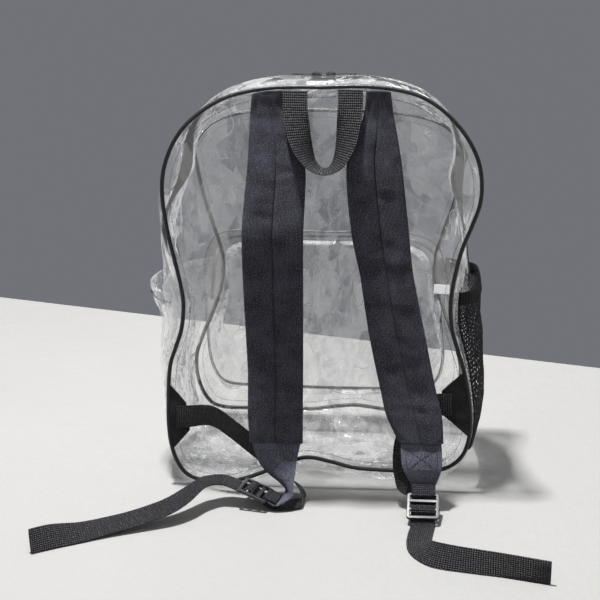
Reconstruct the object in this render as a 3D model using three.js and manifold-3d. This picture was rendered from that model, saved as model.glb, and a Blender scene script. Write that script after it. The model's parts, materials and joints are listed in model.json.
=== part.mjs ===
// A clear vinyl backpack with black piping, straps and webbing, standing on its bottom gusset.
// Millimetres, +Z up. The back panel, which carries the straps, faces -Y; the front pocket faces +Y.
// The origin is on the floor under the middle of the bag.
import * as THREE from 'three';
import { mergeVertices } from 'three/addons/utils/BufferGeometryUtils.js';
import Module from 'manifold-3d';

// Driving sizes of the bag body
const bagHeight = 440;
const bagWidth = 330;
const bagDepth = 150;
const vinyl = 1;
const gap = 0.3;

// Driving sizes of the piping, zippers and pockets
const pipingRadius = 2.2;
const pocketPipingRadius = 1.8;
const mainZipperWidth = 26;
const mainChainWidth = 6;
const pocketZipperWidth = 20;
const pocketChainWidth = 5;
const chainHeight = 1.4;
const pocketDepth = 33;
const sidePocketWall = 1;
const clearPocketRoom = 12.5;
const netPocketRoom = 16;
const hemHeight = 14;
const hemWall = 1.2;

// Driving sizes of the straps and their fittings
const strapPad = 9;
const strapSewn = 3;
const strapReach = 30;
const strapCurl = 12;
const webbingWidth = 25;
const webbingThickness = 1.4;
const tabThickness = 2.5;
const tabWidth = 46;
const anchorThickness = 2;
const bucklePlate = 3.5;
const buckleBar = 3.5;
const loopSlot = 5;
const webbingSlot = 7;
const buckleLoopTail = 10;
const tagWidth = 16;
const tagHeight = 10;
const tagThickness = 0.8;

// Values worked out from them
const halfWidth = bagWidth / 2;
const halfDepth = bagDepth / 2;
const panelFace = halfDepth + vinyl / 2;
const pipingSeat = pipingRadius + gap;
const pocketSeat = pocketPipingRadius + gap;
const frontSlump = bagDepth * 0.1;

const bag = new THREE.Group();

const finishes = {
  vinyl: { color: 0xdfe6ea, roughness: 0.12, metalness: 0 },
  piping: { color: 0x141416, roughness: 0.35, metalness: 0 },
  zipper: { color: 0x1b1c20, roughness: 0.6, metalness: 0 },
  cloth: { color: 0x2b2b33, roughness: 0.85, metalness: 0 },
  webbing: { color: 0x232329, roughness: 0.8, metalness: 0 },
  plastic: { color: 0x18181b, roughness: 0.4, metalness: 0 },
  tag: { color: 0xf2f2f0, roughness: 0.8, metalness: 0 },
};

function add(name, finish, geometry) {
  const mesh = new THREE.Mesh(geometry, new THREE.MeshStandardMaterial(finishes[finish]));
  mesh.name = name;
  bag.add(mesh);
  return mesh;
}

// A table is written as rows of numbers under a line of column names.
function table(columns, rows) {
  const names = columns.split(' ');
  return rows.map((row) => Object.fromEntries(names.map((name, i) => [name, row[i]])));
}

// Smooth value of one column at row position u; a closed table runs on from its last row to its first.
function smooth(rows, column, u, closed) {
  const count = rows.length;
  const wrap = (i) => (closed ? ((i % count) + count) % count : Math.min(Math.max(i, 0), count - 1));
  const i = Math.floor(u);
  const t = u - i;
  const [a, b, c, d] = [i - 1, i, i + 1, i + 2].map((k) => rows[wrap(k)][column]);
  return b + 0.5 * t * (c - a + t * (2 * a - 5 * b + 4 * c - d + t * (3 * (b - c) + d - a)));
}

// Row positions from one to another, with a number of steps to each row.
function positions(from, to, perRow) {
  const steps = Math.max(1, Math.round((to - from) * perRow));
  return Array.from({ length: steps + 1 }, (_, i) => from + ((to - from) * i) / steps);
}

// Closed body from points and triangles, turned so that its faces point out.
function body(points, triangles) {
  let volume = 0;
  for (const [a, b, c] of triangles) {
    volume += points[a].dot(new THREE.Vector3().crossVectors(points[b], points[c]));
  }
  const facing = volume < 0 ? triangles.map(([a, b, c]) => [a, c, b]) : triangles;
  const geometry = new THREE.BufferGeometry();
  geometry.setAttribute('position', new THREE.Float32BufferAttribute(points.flatMap((p) => p.toArray()), 3));
  geometry.setIndex(facing.flat());
  geometry.computeVertexNormals();
  return geometry;
}

const wasm = await Module();
wasm.setup();

function manifold(geometry) {
  const bare = geometry.clone();
  bare.deleteAttribute('normal');
  bare.deleteAttribute('uv');
  const merged = mergeVertices(bare);
  return new wasm.Manifold(new wasm.Mesh({
    numProp: 3,
    vertProperties: merged.attributes.position.array,
    triVerts: new Uint32Array(merged.index.array),
  }));
}

// One closed body with each cutter's shape taken out of it.
function cut(geometry, cutters) {
  const { vertProperties, triVerts } = cutters
    .reduce((left, cutter) => left.subtract(manifold(cutter)), manifold(geometry))
    .getMesh();
  const result = new THREE.BufferGeometry();
  result.setAttribute('position', new THREE.BufferAttribute(vertProperties, 3));
  result.setIndex([...triVerts]);
  result.computeVertexNormals();
  return result;
}

// Sheet between an upper and an under grid of points, closed round its edges.
function slab(upper, under) {
  const rows = upper.length;
  const columns = upper[0].length;
  const points = [...upper.flat(), ...under.flat()];
  const top = (i, j) => i * columns + j;
  const low = (i, j) => rows * columns + top(i, j);
  const triangles = [];
  const quad = (a, b, c, d) => triangles.push([a, b, c], [a, c, d]);
  for (let i = 0; i < rows - 1; i += 1) {
    for (let j = 0; j < columns - 1; j += 1) {
      quad(top(i, j), top(i + 1, j), top(i + 1, j + 1), top(i, j + 1));
      quad(low(i, j), low(i, j + 1), low(i + 1, j + 1), low(i + 1, j));
    }
    quad(top(i, 0), low(i, 0), low(i + 1, 0), top(i + 1, 0));
    quad(top(i, columns - 1), top(i + 1, columns - 1), low(i + 1, columns - 1), low(i, columns - 1));
  }
  for (let j = 0; j < columns - 1; j += 1) {
    const last = rows - 1;
    quad(top(0, j), top(0, j + 1), low(0, j + 1), low(0, j));
    quad(top(last, j), low(last, j), low(last, j + 1), top(last, j + 1));
  }
  return body(points, triangles);
}

// Round section with flat sides carried along a closed outline.
function pipe(stations, radius, sides) {
  const points = [];
  const triangles = [];
  stations.forEach(({ centre, outward }) => {
    for (let k = 0; k < sides; k += 1) {
      const angle = (2 * Math.PI * (k + 0.5)) / sides;
      const point = centre.clone().addScaledVector(outward, radius * Math.cos(angle));
      point.y += radius * Math.sin(angle);
      points.push(point);
    }
  });
  stations.forEach((_, i) => {
    const next = (i + 1) % stations.length;
    for (let k = 0; k < sides; k += 1) {
      const turn = (k + 1) % sides;
      const [a, b, c, d] = [i * sides + k, next * sides + k, next * sides + turn, i * sides + turn];
      triangles.push([a, b, c], [a, c, d]);
    }
  });
  return body(points, triangles);
}

// Flat panel inside a closed outline: rings shrink towards its middle, and shape gives the face's Y.
function panel(stations, inset, middle, shares, shape) {
  const edge = stations.map(({ centre, outward }) => centre.clone().addScaledVector(outward, -inset));
  const faceAt = (side) => (share) => edge.map((point) => {
    const place = middle.clone().lerp(point, share);
    return new THREE.Vector3(place.x, shape(place, point, share) + (side * vinyl) / 2, place.z);
  });
  const rings = [shares.map(faceAt(1)), shares.map(faceAt(-1))];
  const points = rings.flat(2);
  const count = edge.length;
  const first = rings.map((face) => face[0].reduce((sum, point) => sum + point.y, 0) / count);
  const centres = first.map((y) => points.push(new THREE.Vector3(middle.x, y, middle.z)) - 1);
  const index = (face, ring, i) => (face * shares.length + ring) * count + (i % count);
  const triangles = [];
  for (let i = 0; i < count; i += 1) {
    triangles.push([centres[0], index(0, 0, i), index(0, 0, i + 1)]);
    triangles.push([centres[1], index(1, 0, i + 1), index(1, 0, i)]);
    for (let ring = 0; ring < shares.length - 1; ring += 1) {
      const [a, b] = [index(0, ring, i), index(0, ring, i + 1)];
      const [c, d] = [index(0, ring + 1, i + 1), index(0, ring + 1, i)];
      triangles.push([a, d, c], [a, c, b]);
      const [e, f] = [index(1, ring, i), index(1, ring, i + 1)];
      const [g, h] = [index(1, ring + 1, i + 1), index(1, ring + 1, i)];
      triangles.push([e, f, g], [e, g, h]);
    }
    const rim = shares.length - 1;
    const [a, b] = [index(0, rim, i), index(0, rim, i + 1)];
    const [c, d] = [index(1, rim, i + 1), index(1, rim, i)];
    triangles.push([a, d, c], [a, c, b]);
  }
  return body(points, triangles);
}

// Outline of the bag from the top middle down the left side, along the bottom and up the right side.
// X columns are shares of the half width, Z columns of the bag's height. The belly is how far the
// gusset swells outside its two pipings, as a share of the half width; below zero it sags inside them.
const outline = table('backX backZ frontX frontZ belly', [
  [0.0, 1.002, 0.0, 0.868, 0.12],
  [-0.32, 0.998, -0.29, 0.868, 0.12],
  [-0.61, 0.97, -0.56, 0.859, 0.085],
  [-0.84, 0.905, -0.76, 0.832, 0.01],
  [-0.96, 0.823, -0.88, 0.777, -0.1],
  [-0.99, 0.739, -0.88, 0.723, -0.11],
  [-0.95, 0.627, -0.83, 0.623, 0.05],
  [-0.875, 0.492, -0.72, 0.482, 0.23],
  [-0.89, 0.4, -0.73, 0.395, 0.17],
  [-0.96, 0.318, -0.81, 0.305, 0.1],
  [-0.98, 0.223, -0.9, 0.214, 0.06],
  [-0.97, 0.109, -0.89, 0.132, 0.05],
  [-0.87, 0.027, -0.79, 0.07, 0.13],
  [-0.63, 0.007, -0.58, 0.061, 0.19],
  [-0.38, 0.036, -0.35, 0.061, 0.23],
  [-0.09, 0.08, -0.09, 0.064, 0.24],
  [0.21, 0.057, 0.18, 0.077, 0.24],
  [0.52, 0.052, 0.45, 0.064, 0.22],
  [0.79, 0.059, 0.72, 0.064, 0.18],
  [0.93, 0.107, 0.87, 0.109, 0.08],
  [0.96, 0.2, 0.9, 0.195, 0.06],
  [0.91, 0.318, 0.82, 0.3, 0.08],
  [0.83, 0.418, 0.73, 0.405, 0.12],
  [0.82, 0.509, 0.72, 0.495, 0.15],
  [0.88, 0.623, 0.82, 0.618, 0.04],
  [0.98, 0.732, 0.88, 0.723, -0.14],
  [0.96, 0.836, 0.88, 0.777, -0.11],
  [0.81, 0.927, 0.76, 0.832, 0.01],
  [0.59, 0.986, 0.56, 0.859, 0.085],
  [0.3, 1.005, 0.28, 0.868, 0.12],
]);
const topRow = outline.length;
const leftSeam = 7;
const rightSeam = 23;
const stationsPerRow = 2;
const seamGap = gap / 40;

// The front panel is slumped: its piping leans towards the straps near the top.
function frontY(z) {
  return halfDepth - frontSlump * THREE.MathUtils.smoothstep(z / bagHeight, 0.62, 0.87);
}

function outlinePoint(side, u) {
  const x = halfWidth * smooth(outline, `${side}X`, u, true);
  const z = Math.max(bagHeight * smooth(outline, `${side}Z`, u, true), pipingSeat);
  return new THREE.Vector3(x, side === 'back' ? -halfDepth : frontY(z), z);
}

// Direction in the XZ plane that points out of a closed outline at position u.
function outwardOf(pointAt, u) {
  const step = 0.5 / stationsPerRow;
  const along = pointAt(u + step).sub(pointAt(u - step));
  return new THREE.Vector3(along.z, 0, -along.x).normalize();
}

function outlineStations(side) {
  return positions(0, topRow, stationsPerRow).slice(0, -1).map((u) => ({
    centre: outlinePoint(side, u),
    outward: outwardOf((at) => outlinePoint(side, at), u),
  }));
}

// Outer face of the gusset at u round the bag and v from the back piping to the front one.
function gussetPoint(u, v) {
  const back = outlinePoint('back', u);
  const front = outlinePoint('front', u);
  const outward = outwardOf((at) => outlinePoint('back', at).lerp(outlinePoint('front', at), 0.5), u);
  const belly = halfWidth * smooth(outline, 'belly', u, true);
  const swell = belly > 0 ? 1 - Math.abs(2 * v - 1) ** 3 : Math.sin(Math.PI * v) ** 2;
  back.y += pipingSeat;
  front.y -= pipingSeat;
  const point = back.lerp(front, v).addScaledVector(outward, vinyl / 2 + belly * swell);
  point.z = Math.max(point.z, 0);
  return point;
}

function faceNormal(surface, u, v) {
  const step = 0.02;
  const alongU = surface(u + step, v).sub(surface(u - step, v));
  const alongV = surface(u, Math.min(v + step, 1)).sub(surface(u, Math.max(v - step, 0)));
  return alongV.cross(alongU).normalize();
}

// Sheet on a surface: lanes gives the v values at u, lift how far each lane's outer face stands proud.
function sheet(surface, stations, lanes, thickness, lift = () => 0) {
  const faces = (depth) => stations.map((u) => lanes(u).map((v, j) => {
    const height = depth === 0 ? lift(j, u, v) : lift(j, u, v, true) - depth;
    const point = surface(u, v).addScaledVector(faceNormal(surface, u, v), height);
    point.z = Math.max(point.z, depth);
    return point;
  }));
  return slab(faces(0), faces(thickness));
}

const spread = (from, to, steps) => Array.from({ length: steps + 1 }, (_, i) => from + ((to - from) * i) / steps);

// Back and front panels with their piping
const backStations = outlineStations('back');
const frontStations = outlineStations('front');
const panelMiddle = new THREE.Vector3(0, 0, bagHeight * 0.46);
const panelShares = [0.3, 0.62, 0.86, 1];
const backHollow = bagDepth * 0.03;

add('piping_back', 'piping', pipe(backStations, pipingRadius, 6));
add('piping_front', 'piping', pipe(frontStations, pipingRadius, 6));
add('back_panel', 'vinyl', panel(
  backStations, pipingSeat, panelMiddle, panelShares,
  (place, edge, share) => edge.y + backHollow * (1 - share ** 2),
));
add('front_panel', 'vinyl', panel(
  frontStations, pipingSeat, panelMiddle, panelShares,
  (place) => frontY(place.z),
));

// Gusset: one strip under the bottom and up the sides, and two over the top with the zipper between
const zipperLine = 0.36;
const upperStations = positions(rightSeam + seamGap, topRow + leftSeam - seamGap, stationsPerRow);
const lowerStations = positions(leftSeam + seamGap, rightSeam - seamGap, stationsPerRow);
const zipperShift = (width) => (u) => {
  const step = 0.02;
  const rise = gussetPoint(u, zipperLine + step).distanceTo(gussetPoint(u, zipperLine - step)) / (2 * step);
  return width / 2 / rise;
};
const tapeEdge = zipperShift(mainZipperWidth);
const stripEdge = zipperShift(mainZipperWidth + 2 * gap);
const chainEdge = zipperShift(mainChainWidth);

const lowerLanes = [0, 0.06, 0.16, 0.34, 0.5, 0.66, 0.84, 0.94, 1];
add('lower_gusset', 'vinyl', sheet(gussetPoint, lowerStations, () => lowerLanes, vinyl));
add('upper_gusset_back', 'vinyl', sheet(
  gussetPoint, upperStations, (u) => spread(0, zipperLine - stripEdge(u), 3), vinyl,
));
add('upper_gusset_front', 'vinyl', sheet(
  gussetPoint, upperStations, (u) => spread(zipperLine + stripEdge(u), 1, 4), vinyl,
));
add('main_zipper', 'zipper', sheet(
  gussetPoint, upperStations,
  (u) => [-tapeEdge(u), -chainEdge(u), chainEdge(u), tapeEdge(u)].map((shift) => zipperLine + shift),
  vinyl, (lane, u, v, under) => (!under && (lane === 1 || lane === 2) ? chainHeight : 0),
));

// Zipper slider: a tapered body over the chain with its pull tab lying behind it
const sliderLength = 11;
const sliderHeight = 3.4;
const pullLength = 20;
const pullWidth = 5.5;

function slider(chainWidth) {
  const nose = chainWidth * 0.75;
  const shape = new THREE.Shape();
  shape.moveTo(-nose, 0);
  shape.lineTo(-chainWidth, sliderLength * 0.6);
  shape.lineTo(-chainWidth * 0.55, sliderLength);
  shape.lineTo(chainWidth * 0.55, sliderLength);
  shape.lineTo(chainWidth, sliderLength * 0.6);
  shape.lineTo(nose, 0);
  return new THREE.ExtrudeGeometry(shape, { depth: sliderHeight, bevelEnabled: false });
}

function pull(width) {
  const shape = new THREE.Shape();
  shape.moveTo(-width * 0.35, 0);
  shape.lineTo(-width / 2, pullLength * 0.8);
  shape.absarc(0, pullLength * 0.8, width / 2, Math.PI, 0, true);
  shape.lineTo(width * 0.35, 0);
  return new THREE.ExtrudeGeometry(shape, { depth: vinyl, bevelEnabled: false, curveSegments: 4 });
}

// Frame on a surface: origin at (u, v), Y along the strip, Z out of it.
function seatOn(mesh, surface, u, v, height, heading) {
  const step = 0.02;
  const out = faceNormal(surface, u, v);
  const along = surface(u + step, v).sub(surface(u - step, v)).multiplyScalar(heading).normalize();
  const across = new THREE.Vector3().crossVectors(along, out).normalize();
  const basis = new THREE.Matrix4().makeBasis(across, new THREE.Vector3().crossVectors(out, across), out);
  mesh.setRotationFromMatrix(basis);
  mesh.position.copy(surface(u, v).addScaledVector(out, height));
}

const sliderSeat = chainHeight + 2 * gap;
const sliderSpread = 0.04;
for (const [side, heading] of [['left', 1], ['right', -1]]) {
  const start = topRow + heading * sliderSpread;
  const runner = add(`main_slider_${side}`, 'plastic', slider(mainChainWidth));
  seatOn(runner, gussetPoint, start, zipperLine, sliderSeat, heading);
  const tab = add(`main_pull_${side}`, 'plastic', pull(pullWidth));
  seatOn(tab, gussetPoint, start, zipperLine, sliderSeat, heading);
  tab.translateY(sliderLength + gap);
}

// Front pocket: its rim on the front panel, its face as far out as the pocket is deep. X columns are
// shares of the half width, Z columns of the bag's height.
const pocketOutline = table('rimX rimZ faceX faceZ', [
  [0.0, 0.509, 0.0, 0.52],
  [-0.39, 0.507, -0.42, 0.52],
  [-0.59, 0.493, -0.72, 0.514],
  [-0.65, 0.455, -0.83, 0.473],
  [-0.66, 0.391, -0.86, 0.398],
  [-0.73, 0.284, -0.85, 0.284],
  [-0.79, 0.182, -0.83, 0.173],
  [-0.72, 0.12, -0.75, 0.109],
  [-0.56, 0.104, -0.56, 0.095],
  [-0.18, 0.102, -0.18, 0.093],
  [0.24, 0.106, 0.24, 0.093],
  [0.56, 0.104, 0.58, 0.098],
  [0.7, 0.127, 0.73, 0.118],
  [0.78, 0.191, 0.78, 0.186],
  [0.72, 0.291, 0.76, 0.295],
  [0.66, 0.405, 0.77, 0.42],
  [0.62, 0.473, 0.72, 0.489],
  [0.48, 0.502, 0.55, 0.518],
  [0.24, 0.509, 0.27, 0.523],
]);
const pocketY = halfDepth + pocketDepth;
const pocketTop = pocketOutline.length;
const pocketZipperEnds = { left: 4.5, right: 14.5 };

function pocketOutlinePoint(side, u) {
  return new THREE.Vector3(
    halfWidth * smooth(pocketOutline, `${side}X`, u, true),
    side === 'rim' ? panelFace + gap : pocketY,
    bagHeight * smooth(pocketOutline, `${side}Z`, u, true),
  );
}

const pocketOutward = (u) => outwardOf((at) => pocketOutlinePoint('face', at), u);
const pocketStations = positions(0, pocketTop, stationsPerRow).slice(0, -1).map((u) => ({
  centre: pocketOutlinePoint('face', u),
  outward: pocketOutward(u),
}));

function pocketSide(u, v) {
  const rim = pocketOutlinePoint('rim', u);
  const face = pocketOutlinePoint('face', u);
  face.y -= pocketSeat + vinyl / 2;
  return rim.lerp(face, v).addScaledVector(pocketOutward(u), vinyl / 2);
}

const pocketRun = pocketDepth - pocketSeat;
const pocketTape = 1 - pocketZipperWidth / pocketRun;
const pocketChain = [0.5 - pocketChainWidth / pocketRun / 2, 0.5 + pocketChainWidth / pocketRun / 2];
const pocketChainLanes = pocketChain.map((share) => pocketTape + (1 - pocketTape) * share);
const pocketLower = positions(pocketZipperEnds.left + seamGap, pocketZipperEnds.right - seamGap, stationsPerRow);
const pocketUpper = positions(
  pocketZipperEnds.right + seamGap, pocketTop + pocketZipperEnds.left - seamGap, stationsPerRow,
);
const pocketMiddle = new THREE.Vector3(0, 0, bagHeight * 0.31);
const pocketBulge = bagDepth * 0.04;

add('pocket_piping', 'piping', pipe(pocketStations, pocketPipingRadius, 6));
add('pocket_face', 'vinyl', panel(
  pocketStations, pocketSeat, pocketMiddle, [0.4, 0.8, 1],
  (place, edge, share) => edge.y + pocketBulge * (1 - share ** 2),
));
add('pocket_gusset', 'vinyl', sheet(pocketSide, pocketLower, () => [0, 0.5, 1], vinyl));
add('pocket_strip', 'vinyl', sheet(pocketSide, pocketUpper, () => [0, pocketTape - 2 * gap / pocketRun], vinyl));
add('pocket_zipper', 'zipper', sheet(
  pocketSide, pocketUpper, () => [pocketTape, ...pocketChainLanes, 1], vinyl,
  (lane, u, v, under) => (!under && (lane === 1 || lane === 2) ? chainHeight : 0),
));
const pocketSliderPlace = 17.2;
const pocketRunner = add('pocket_slider', 'plastic', slider(pocketChainWidth));
const pocketChainLine = (pocketChainLanes[0] + pocketChainLanes[1]) / 2;
seatOn(pocketRunner, pocketSide, pocketSliderPlace, pocketChainLine, chainHeight, 1);

// Side pockets: a wall sewn over the lower gusset on each side, open at the top, with a hem band. The
// rim stands off the gusset by a share of the pocket's room.
const pocketLanes = lowerLanes.slice(1, -1);
const pocketClear = gap * 1.5;
const hemClear = gap * 2;

function sidePocket(name, finish, hemFinish, from, to, room, rimShare) {
  const stations = lowerStations.filter((u) => u >= Math.min(from, to) && u <= Math.max(from, to));
  if (from > to) {
    stations.reverse();
  }
  const lift = (u, v) => {
    const down = Math.abs((u - from) / (to - from));
    const rise = Math.min(rimShare + 2 * down, 1, 1.6 * (1 - down));
    const width = Math.sin((Math.PI * (v - pocketLanes[0])) / (pocketLanes.at(-1) - pocketLanes[0]));
    return pocketClear + sidePocketWall + room * rise * Math.max(width, 0);
  };
  const face = (depth) => {
    const rows = stations.map((u) => pocketLanes.map((v) => (
      gussetPoint(u, v).addScaledVector(faceNormal(gussetPoint, u, v), lift(u, v) - depth)
    )));
    const [rim, next] = rows;
    const share = hemHeight / rim[3].distanceTo(next[3]);
    return [rim, rim.map((point, j) => point.clone().lerp(next[j], share)), ...rows.slice(1)];
  };
  const outer = face(0);
  add(name, finish, slab(outer, face(sidePocketWall)));
  const [rim, turn] = outer;
  const proud = rim.map((point, j) => {
    const alongRim = rim[Math.min(j + 1, rim.length - 1)].clone().sub(rim[Math.max(j - 1, 0)]);
    const out = alongRim.cross(turn[j].clone().sub(point)).normalize();
    return out.multiplyScalar(Math.sign(out.x * point.x));
  });
  const hemFace = (height) => [rim, turn].map((row) => row.map((point, j) => (
    point.clone().addScaledVector(proud[j], height)
  )));
  add(`${name}_hem`, hemFinish, slab(hemFace(hemClear + hemWall), hemFace(hemClear)));
}

sidePocket('side_pocket_clear', 'vinyl', 'vinyl', leftSeam, 11.6, clearPocketRoom, 1);
sidePocket('side_pocket_net', 'webbing', 'zipper', rightSeam, 18.9, netPocketRoom, 0.6);

// Straps. Rows run from the top seam down: Z is a share of the bag's height, the two edges are shares
// of the half width, stand is the share of the strap's reach away from the panel, and curl lifts the
// inner edge of the cloth.
const leftStrapRows = table('z left right stand curl', [
  [0.9955, -0.42, -0.24, 0, 0],
  [0.955, -0.43, -0.218, 0.03, 0],
  [0.886, -0.44, -0.13, 0.14, 0],
  [0.809, -0.45, -0.09, 0.25, 0],
  [0.67, -0.48, -0.1, 0.4, 0],
  [0.5, -0.47, -0.1, 0.6, 0],
  [0.33, -0.45, -0.1, 0.8, 0],
  [0.227, -0.45, -0.1, 0.92, 0],
  [0.15, -0.44, -0.1, 1, 0],
]);
const rightStrapRows = table('z left right stand curl', [
  [0.9955, 0.27, 0.42, 0, 0],
  [0.943, 0.26, 0.44, 0.04, 0.05],
  [0.886, 0.21, 0.47, 0.14, 0.3],
  [0.818, 0.16, 0.5, 0.25, 0.8],
  [0.661, 0.2, 0.55, 0.4, 0.7],
  [0.568, 0.25, 0.58, 0.5, 0.3],
  [0.425, 0.31, 0.66, 0.68, 0.1],
  [0.284, 0.39, 0.74, 0.85, 0],
  [0.225, 0.43, 0.78, 1, 0],
  [0.164, 0.51, 0.79, 1.15, 0],
]);
// Across the strap: share of the width from the middle, and shares of the thickness in front and behind.
const strapSection = table('across front behind', [
  [-0.5, 0.2, -0.2],
  [-0.4, 0.5, -0.5],
  [0, 0.3, -0.5],
  [0.4, 0.5, -0.5],
  [0.5, 0.2, -0.2],
]);

const strapTopY = -(panelFace + gap + strapSewn / 2);

// Height just under the top of the back piping at a given X.
function seamHeight(x) {
  const upper = backStations.map(({ centre }) => centre).filter((point) => point.z > bagHeight * 0.75);
  const sorted = upper.sort((a, b) => a.x - b.x);
  const right = Math.min(Math.max(sorted.findIndex((point) => point.x > x), 1), sorted.length - 1);
  const [a, b] = [sorted[right - 1], sorted[right]];
  return THREE.MathUtils.mapLinear(x, a.x, b.x, a.z, b.z) - pipingSeat;
}

function strap(rows) {
  const faces = (face) => positions(0, rows.length - 1, stationsPerRow).map((u) => {
    const [z, left, right, stand, curl] = ['z', 'left', 'right', 'stand', 'curl'].map((c) => smooth(rows, c, u));
    const thickness = THREE.MathUtils.lerp(strapSewn, strapPad, THREE.MathUtils.smoothstep(stand, 0, 0.3));
    return strapSection.map((point) => {
      const x = halfWidth * THREE.MathUtils.lerp(left, right, point.across + 0.5);
      const lifted = strapCurl * curl * Math.max(0, -2 * point.across) ** 2;
      const y = strapTopY - stand * strapReach - thickness * point[face] - lifted;
      return new THREE.Vector3(x, y, Math.min(z * bagHeight, seamHeight(x)));
    });
  });
  return slab(faces('front'), faces('behind'));
}

add('shoulder_strap_left', 'cloth', strap(leftStrapRows));
add('shoulder_strap_right', 'cloth', strap(rightStrapRows));

// Bands: places are centre points with the direction across the band, its width and its thickness.
function place(x, y, z, across, wide = webbingWidth, thick = webbingThickness) {
  const centre = new THREE.Vector3(x * halfWidth, y * halfDepth, z * bagHeight);
  return { centre, across: new THREE.Vector3(...across).normalize(), wide, thick };
}

function smoothPlaces(places, perRow) {
  const rows = places.map(({ centre, across, wide, thick }) => ({
    x: centre.x, y: centre.y, z: centre.z, ax: across.x, ay: across.y, az: across.z, wide, thick,
  }));
  return positions(0, rows.length - 1, perRow).map((u) => {
    const at = Object.fromEntries(Object.keys(rows[0]).map((column) => [column, smooth(rows, column, u)]));
    return {
      centre: new THREE.Vector3(at.x, at.y, at.z),
      across: new THREE.Vector3(at.ax, at.ay, at.az).normalize(),
      wide: at.wide,
      thick: at.thick,
    };
  });
}

function band(places) {
  const faces = (side) => places.map(({ centre, across, wide, thick }, i) => {
    const before = places[Math.max(i - 1, 0)].centre;
    const after = places[Math.min(i + 1, places.length - 1)].centre;
    const along = after.clone().sub(before).normalize();
    const out = new THREE.Vector3().crossVectors(along, across).normalize();
    const middle = centre.clone().addScaledVector(out, (side * thick) / 2);
    return [-0.5, 0.5].map((share) => {
      const point = middle.clone().addScaledVector(across, share * wide);
      point.z = Math.max(point.z, 0);
      return point;
    });
  });
  return slab(faces(1), faces(-1));
}

// Grab handle: sewn in under the back piping at both ends, hanging in a loop on its edge
const handleSpread = 0.16;
const seamZ = (x) => Math.min(seamHeight(x - webbingWidth / 2), seamHeight(x + webbingWidth / 2)) / bagHeight;
const handleRows = [
  place(-handleSpread, -1.04, seamZ(-handleSpread * halfWidth), [1, 0, 0]),
  place(-handleSpread * 0.98, -1.095, 0.955, [1, 0, 0]),
  place(-0.124, -1.18, 0.882, [0.85, 0.5, 0]),
  place(-0.064, -1.213, 0.832, [0.4, 0.9, 0]),
  place(0.018, -1.227, 0.814, [0, 1, 0]),
  place(0.097, -1.213, 0.827, [-0.4, 0.9, 0]),
  place(0.152, -1.173, 0.875, [-0.8, 0.6, 0]),
  place(handleSpread * 1.1, -1.095, 0.955, [-1, 0, 0]),
  place(handleSpread * 1.1, -1.04, seamZ(handleSpread * 1.1 * halfWidth), [-1, 0, 0]),
];
add('grab_handle', 'webbing', band(smoothPlaces(handleRows, 2)));

// Anchors: black cloth pieces in the lower side seams, which carry the webbing. Their outer edge runs
// along the piping between two row positions; the inner edge is given by shares of width and height.
function anchor(name, from, to, inner) {
  const seam = positions(from, to, 2).map((u) => {
    const outward = outwardOf((at) => outlinePoint('back', at), u);
    return outlinePoint('back', u).addScaledVector(outward, -pipingSeat);
  });
  const shape = new THREE.Shape();
  shape.moveTo(seam[0].x, seam[0].z);
  seam.slice(1).forEach((point) => shape.lineTo(point.x, point.z));
  inner.forEach(({ x, z }) => shape.lineTo(x * halfWidth, z * bagHeight));
  const geometry = new THREE.ExtrudeGeometry(shape, { depth: anchorThickness, bevelEnabled: false });
  geometry.rotateX(Math.PI / 2);
  add(name, 'cloth', geometry).position.y = -(panelFace + gap);
}

anchor('strap_anchor_left', 9.6, 11.15, table('x z', [[-0.845, 0.145], [-0.865, 0.216]]));
anchor('strap_anchor_right', 21, 19.45, table('x z', [[0.76, 0.211], [0.775, 0.266]]));

// Buckle frames: origin on the middle of the top bar's outer edge, and the buckle's own directions
const slotWidth = webbingWidth + 2;
const buckleWidth = slotWidth + 2 * buckleBar;
const buckleLength = 4 * buckleBar + loopSlot + 2 * webbingSlot;
const middleBar = 2.5 * buckleBar + loopSlot + webbingSlot;

function buckleFrame(x, y, z, along, across) {
  const a = new THREE.Vector3(...along).normalize();
  const out = new THREE.Vector3().crossVectors(a, new THREE.Vector3(...across)).normalize();
  return {
    origin: new THREE.Vector3(x * halfWidth, y * halfDepth, z * bagHeight),
    along: a,
    across: new THREE.Vector3().crossVectors(out, a),
    out,
  };
}

// Place beside a buckle: distance along it and height over its middle plane.
function nearBuckle(frame, distance, height, wide = webbingWidth, thick = webbingThickness) {
  const centre = frame.origin.clone()
    .addScaledVector(frame.along, distance)
    .addScaledVector(frame.out, height);
  return { centre, across: frame.across.clone(), wide, thick };
}

function ladderLock(name, frame) {
  const corner = buckleBar * 0.6;
  const half = buckleWidth / 2;
  const plate = new THREE.Shape();
  plate.moveTo(-half + corner, 0);
  plate.lineTo(half - corner, 0);
  plate.lineTo(half, corner);
  plate.lineTo(half, buckleLength - corner);
  plate.lineTo(half - corner, buckleLength);
  plate.lineTo(-half + corner, buckleLength);
  plate.lineTo(-half, buckleLength - corner);
  plate.lineTo(-half, corner);
  const blank = new THREE.ExtrudeGeometry(plate, { depth: bucklePlate, bevelEnabled: false });
  blank.translate(0, 0, -bucklePlate / 2);
  let start = buckleBar;
  const slots = [loopSlot, webbingSlot, webbingSlot].map((slot) => {
    const cutter = new THREE.BoxGeometry(slotWidth, slot, bucklePlate * 2);
    cutter.translate(0, start + slot / 2, 0);
    start += slot + buckleBar;
    return cutter;
  });
  const mesh = add(name, 'plastic', cut(blank, slots));
  const side = new THREE.Vector3().crossVectors(frame.along, frame.out);
  mesh.setRotationFromMatrix(new THREE.Matrix4().makeBasis(side, frame.along, frame.out));
  mesh.position.copy(frame.origin);
}

// Webbing loop from the strap tab round the buckle's top bar and back
const loopHeight = (bucklePlate + webbingThickness) / 2 + gap;
const loopTurn = buckleBar + 4 * gap;

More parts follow.
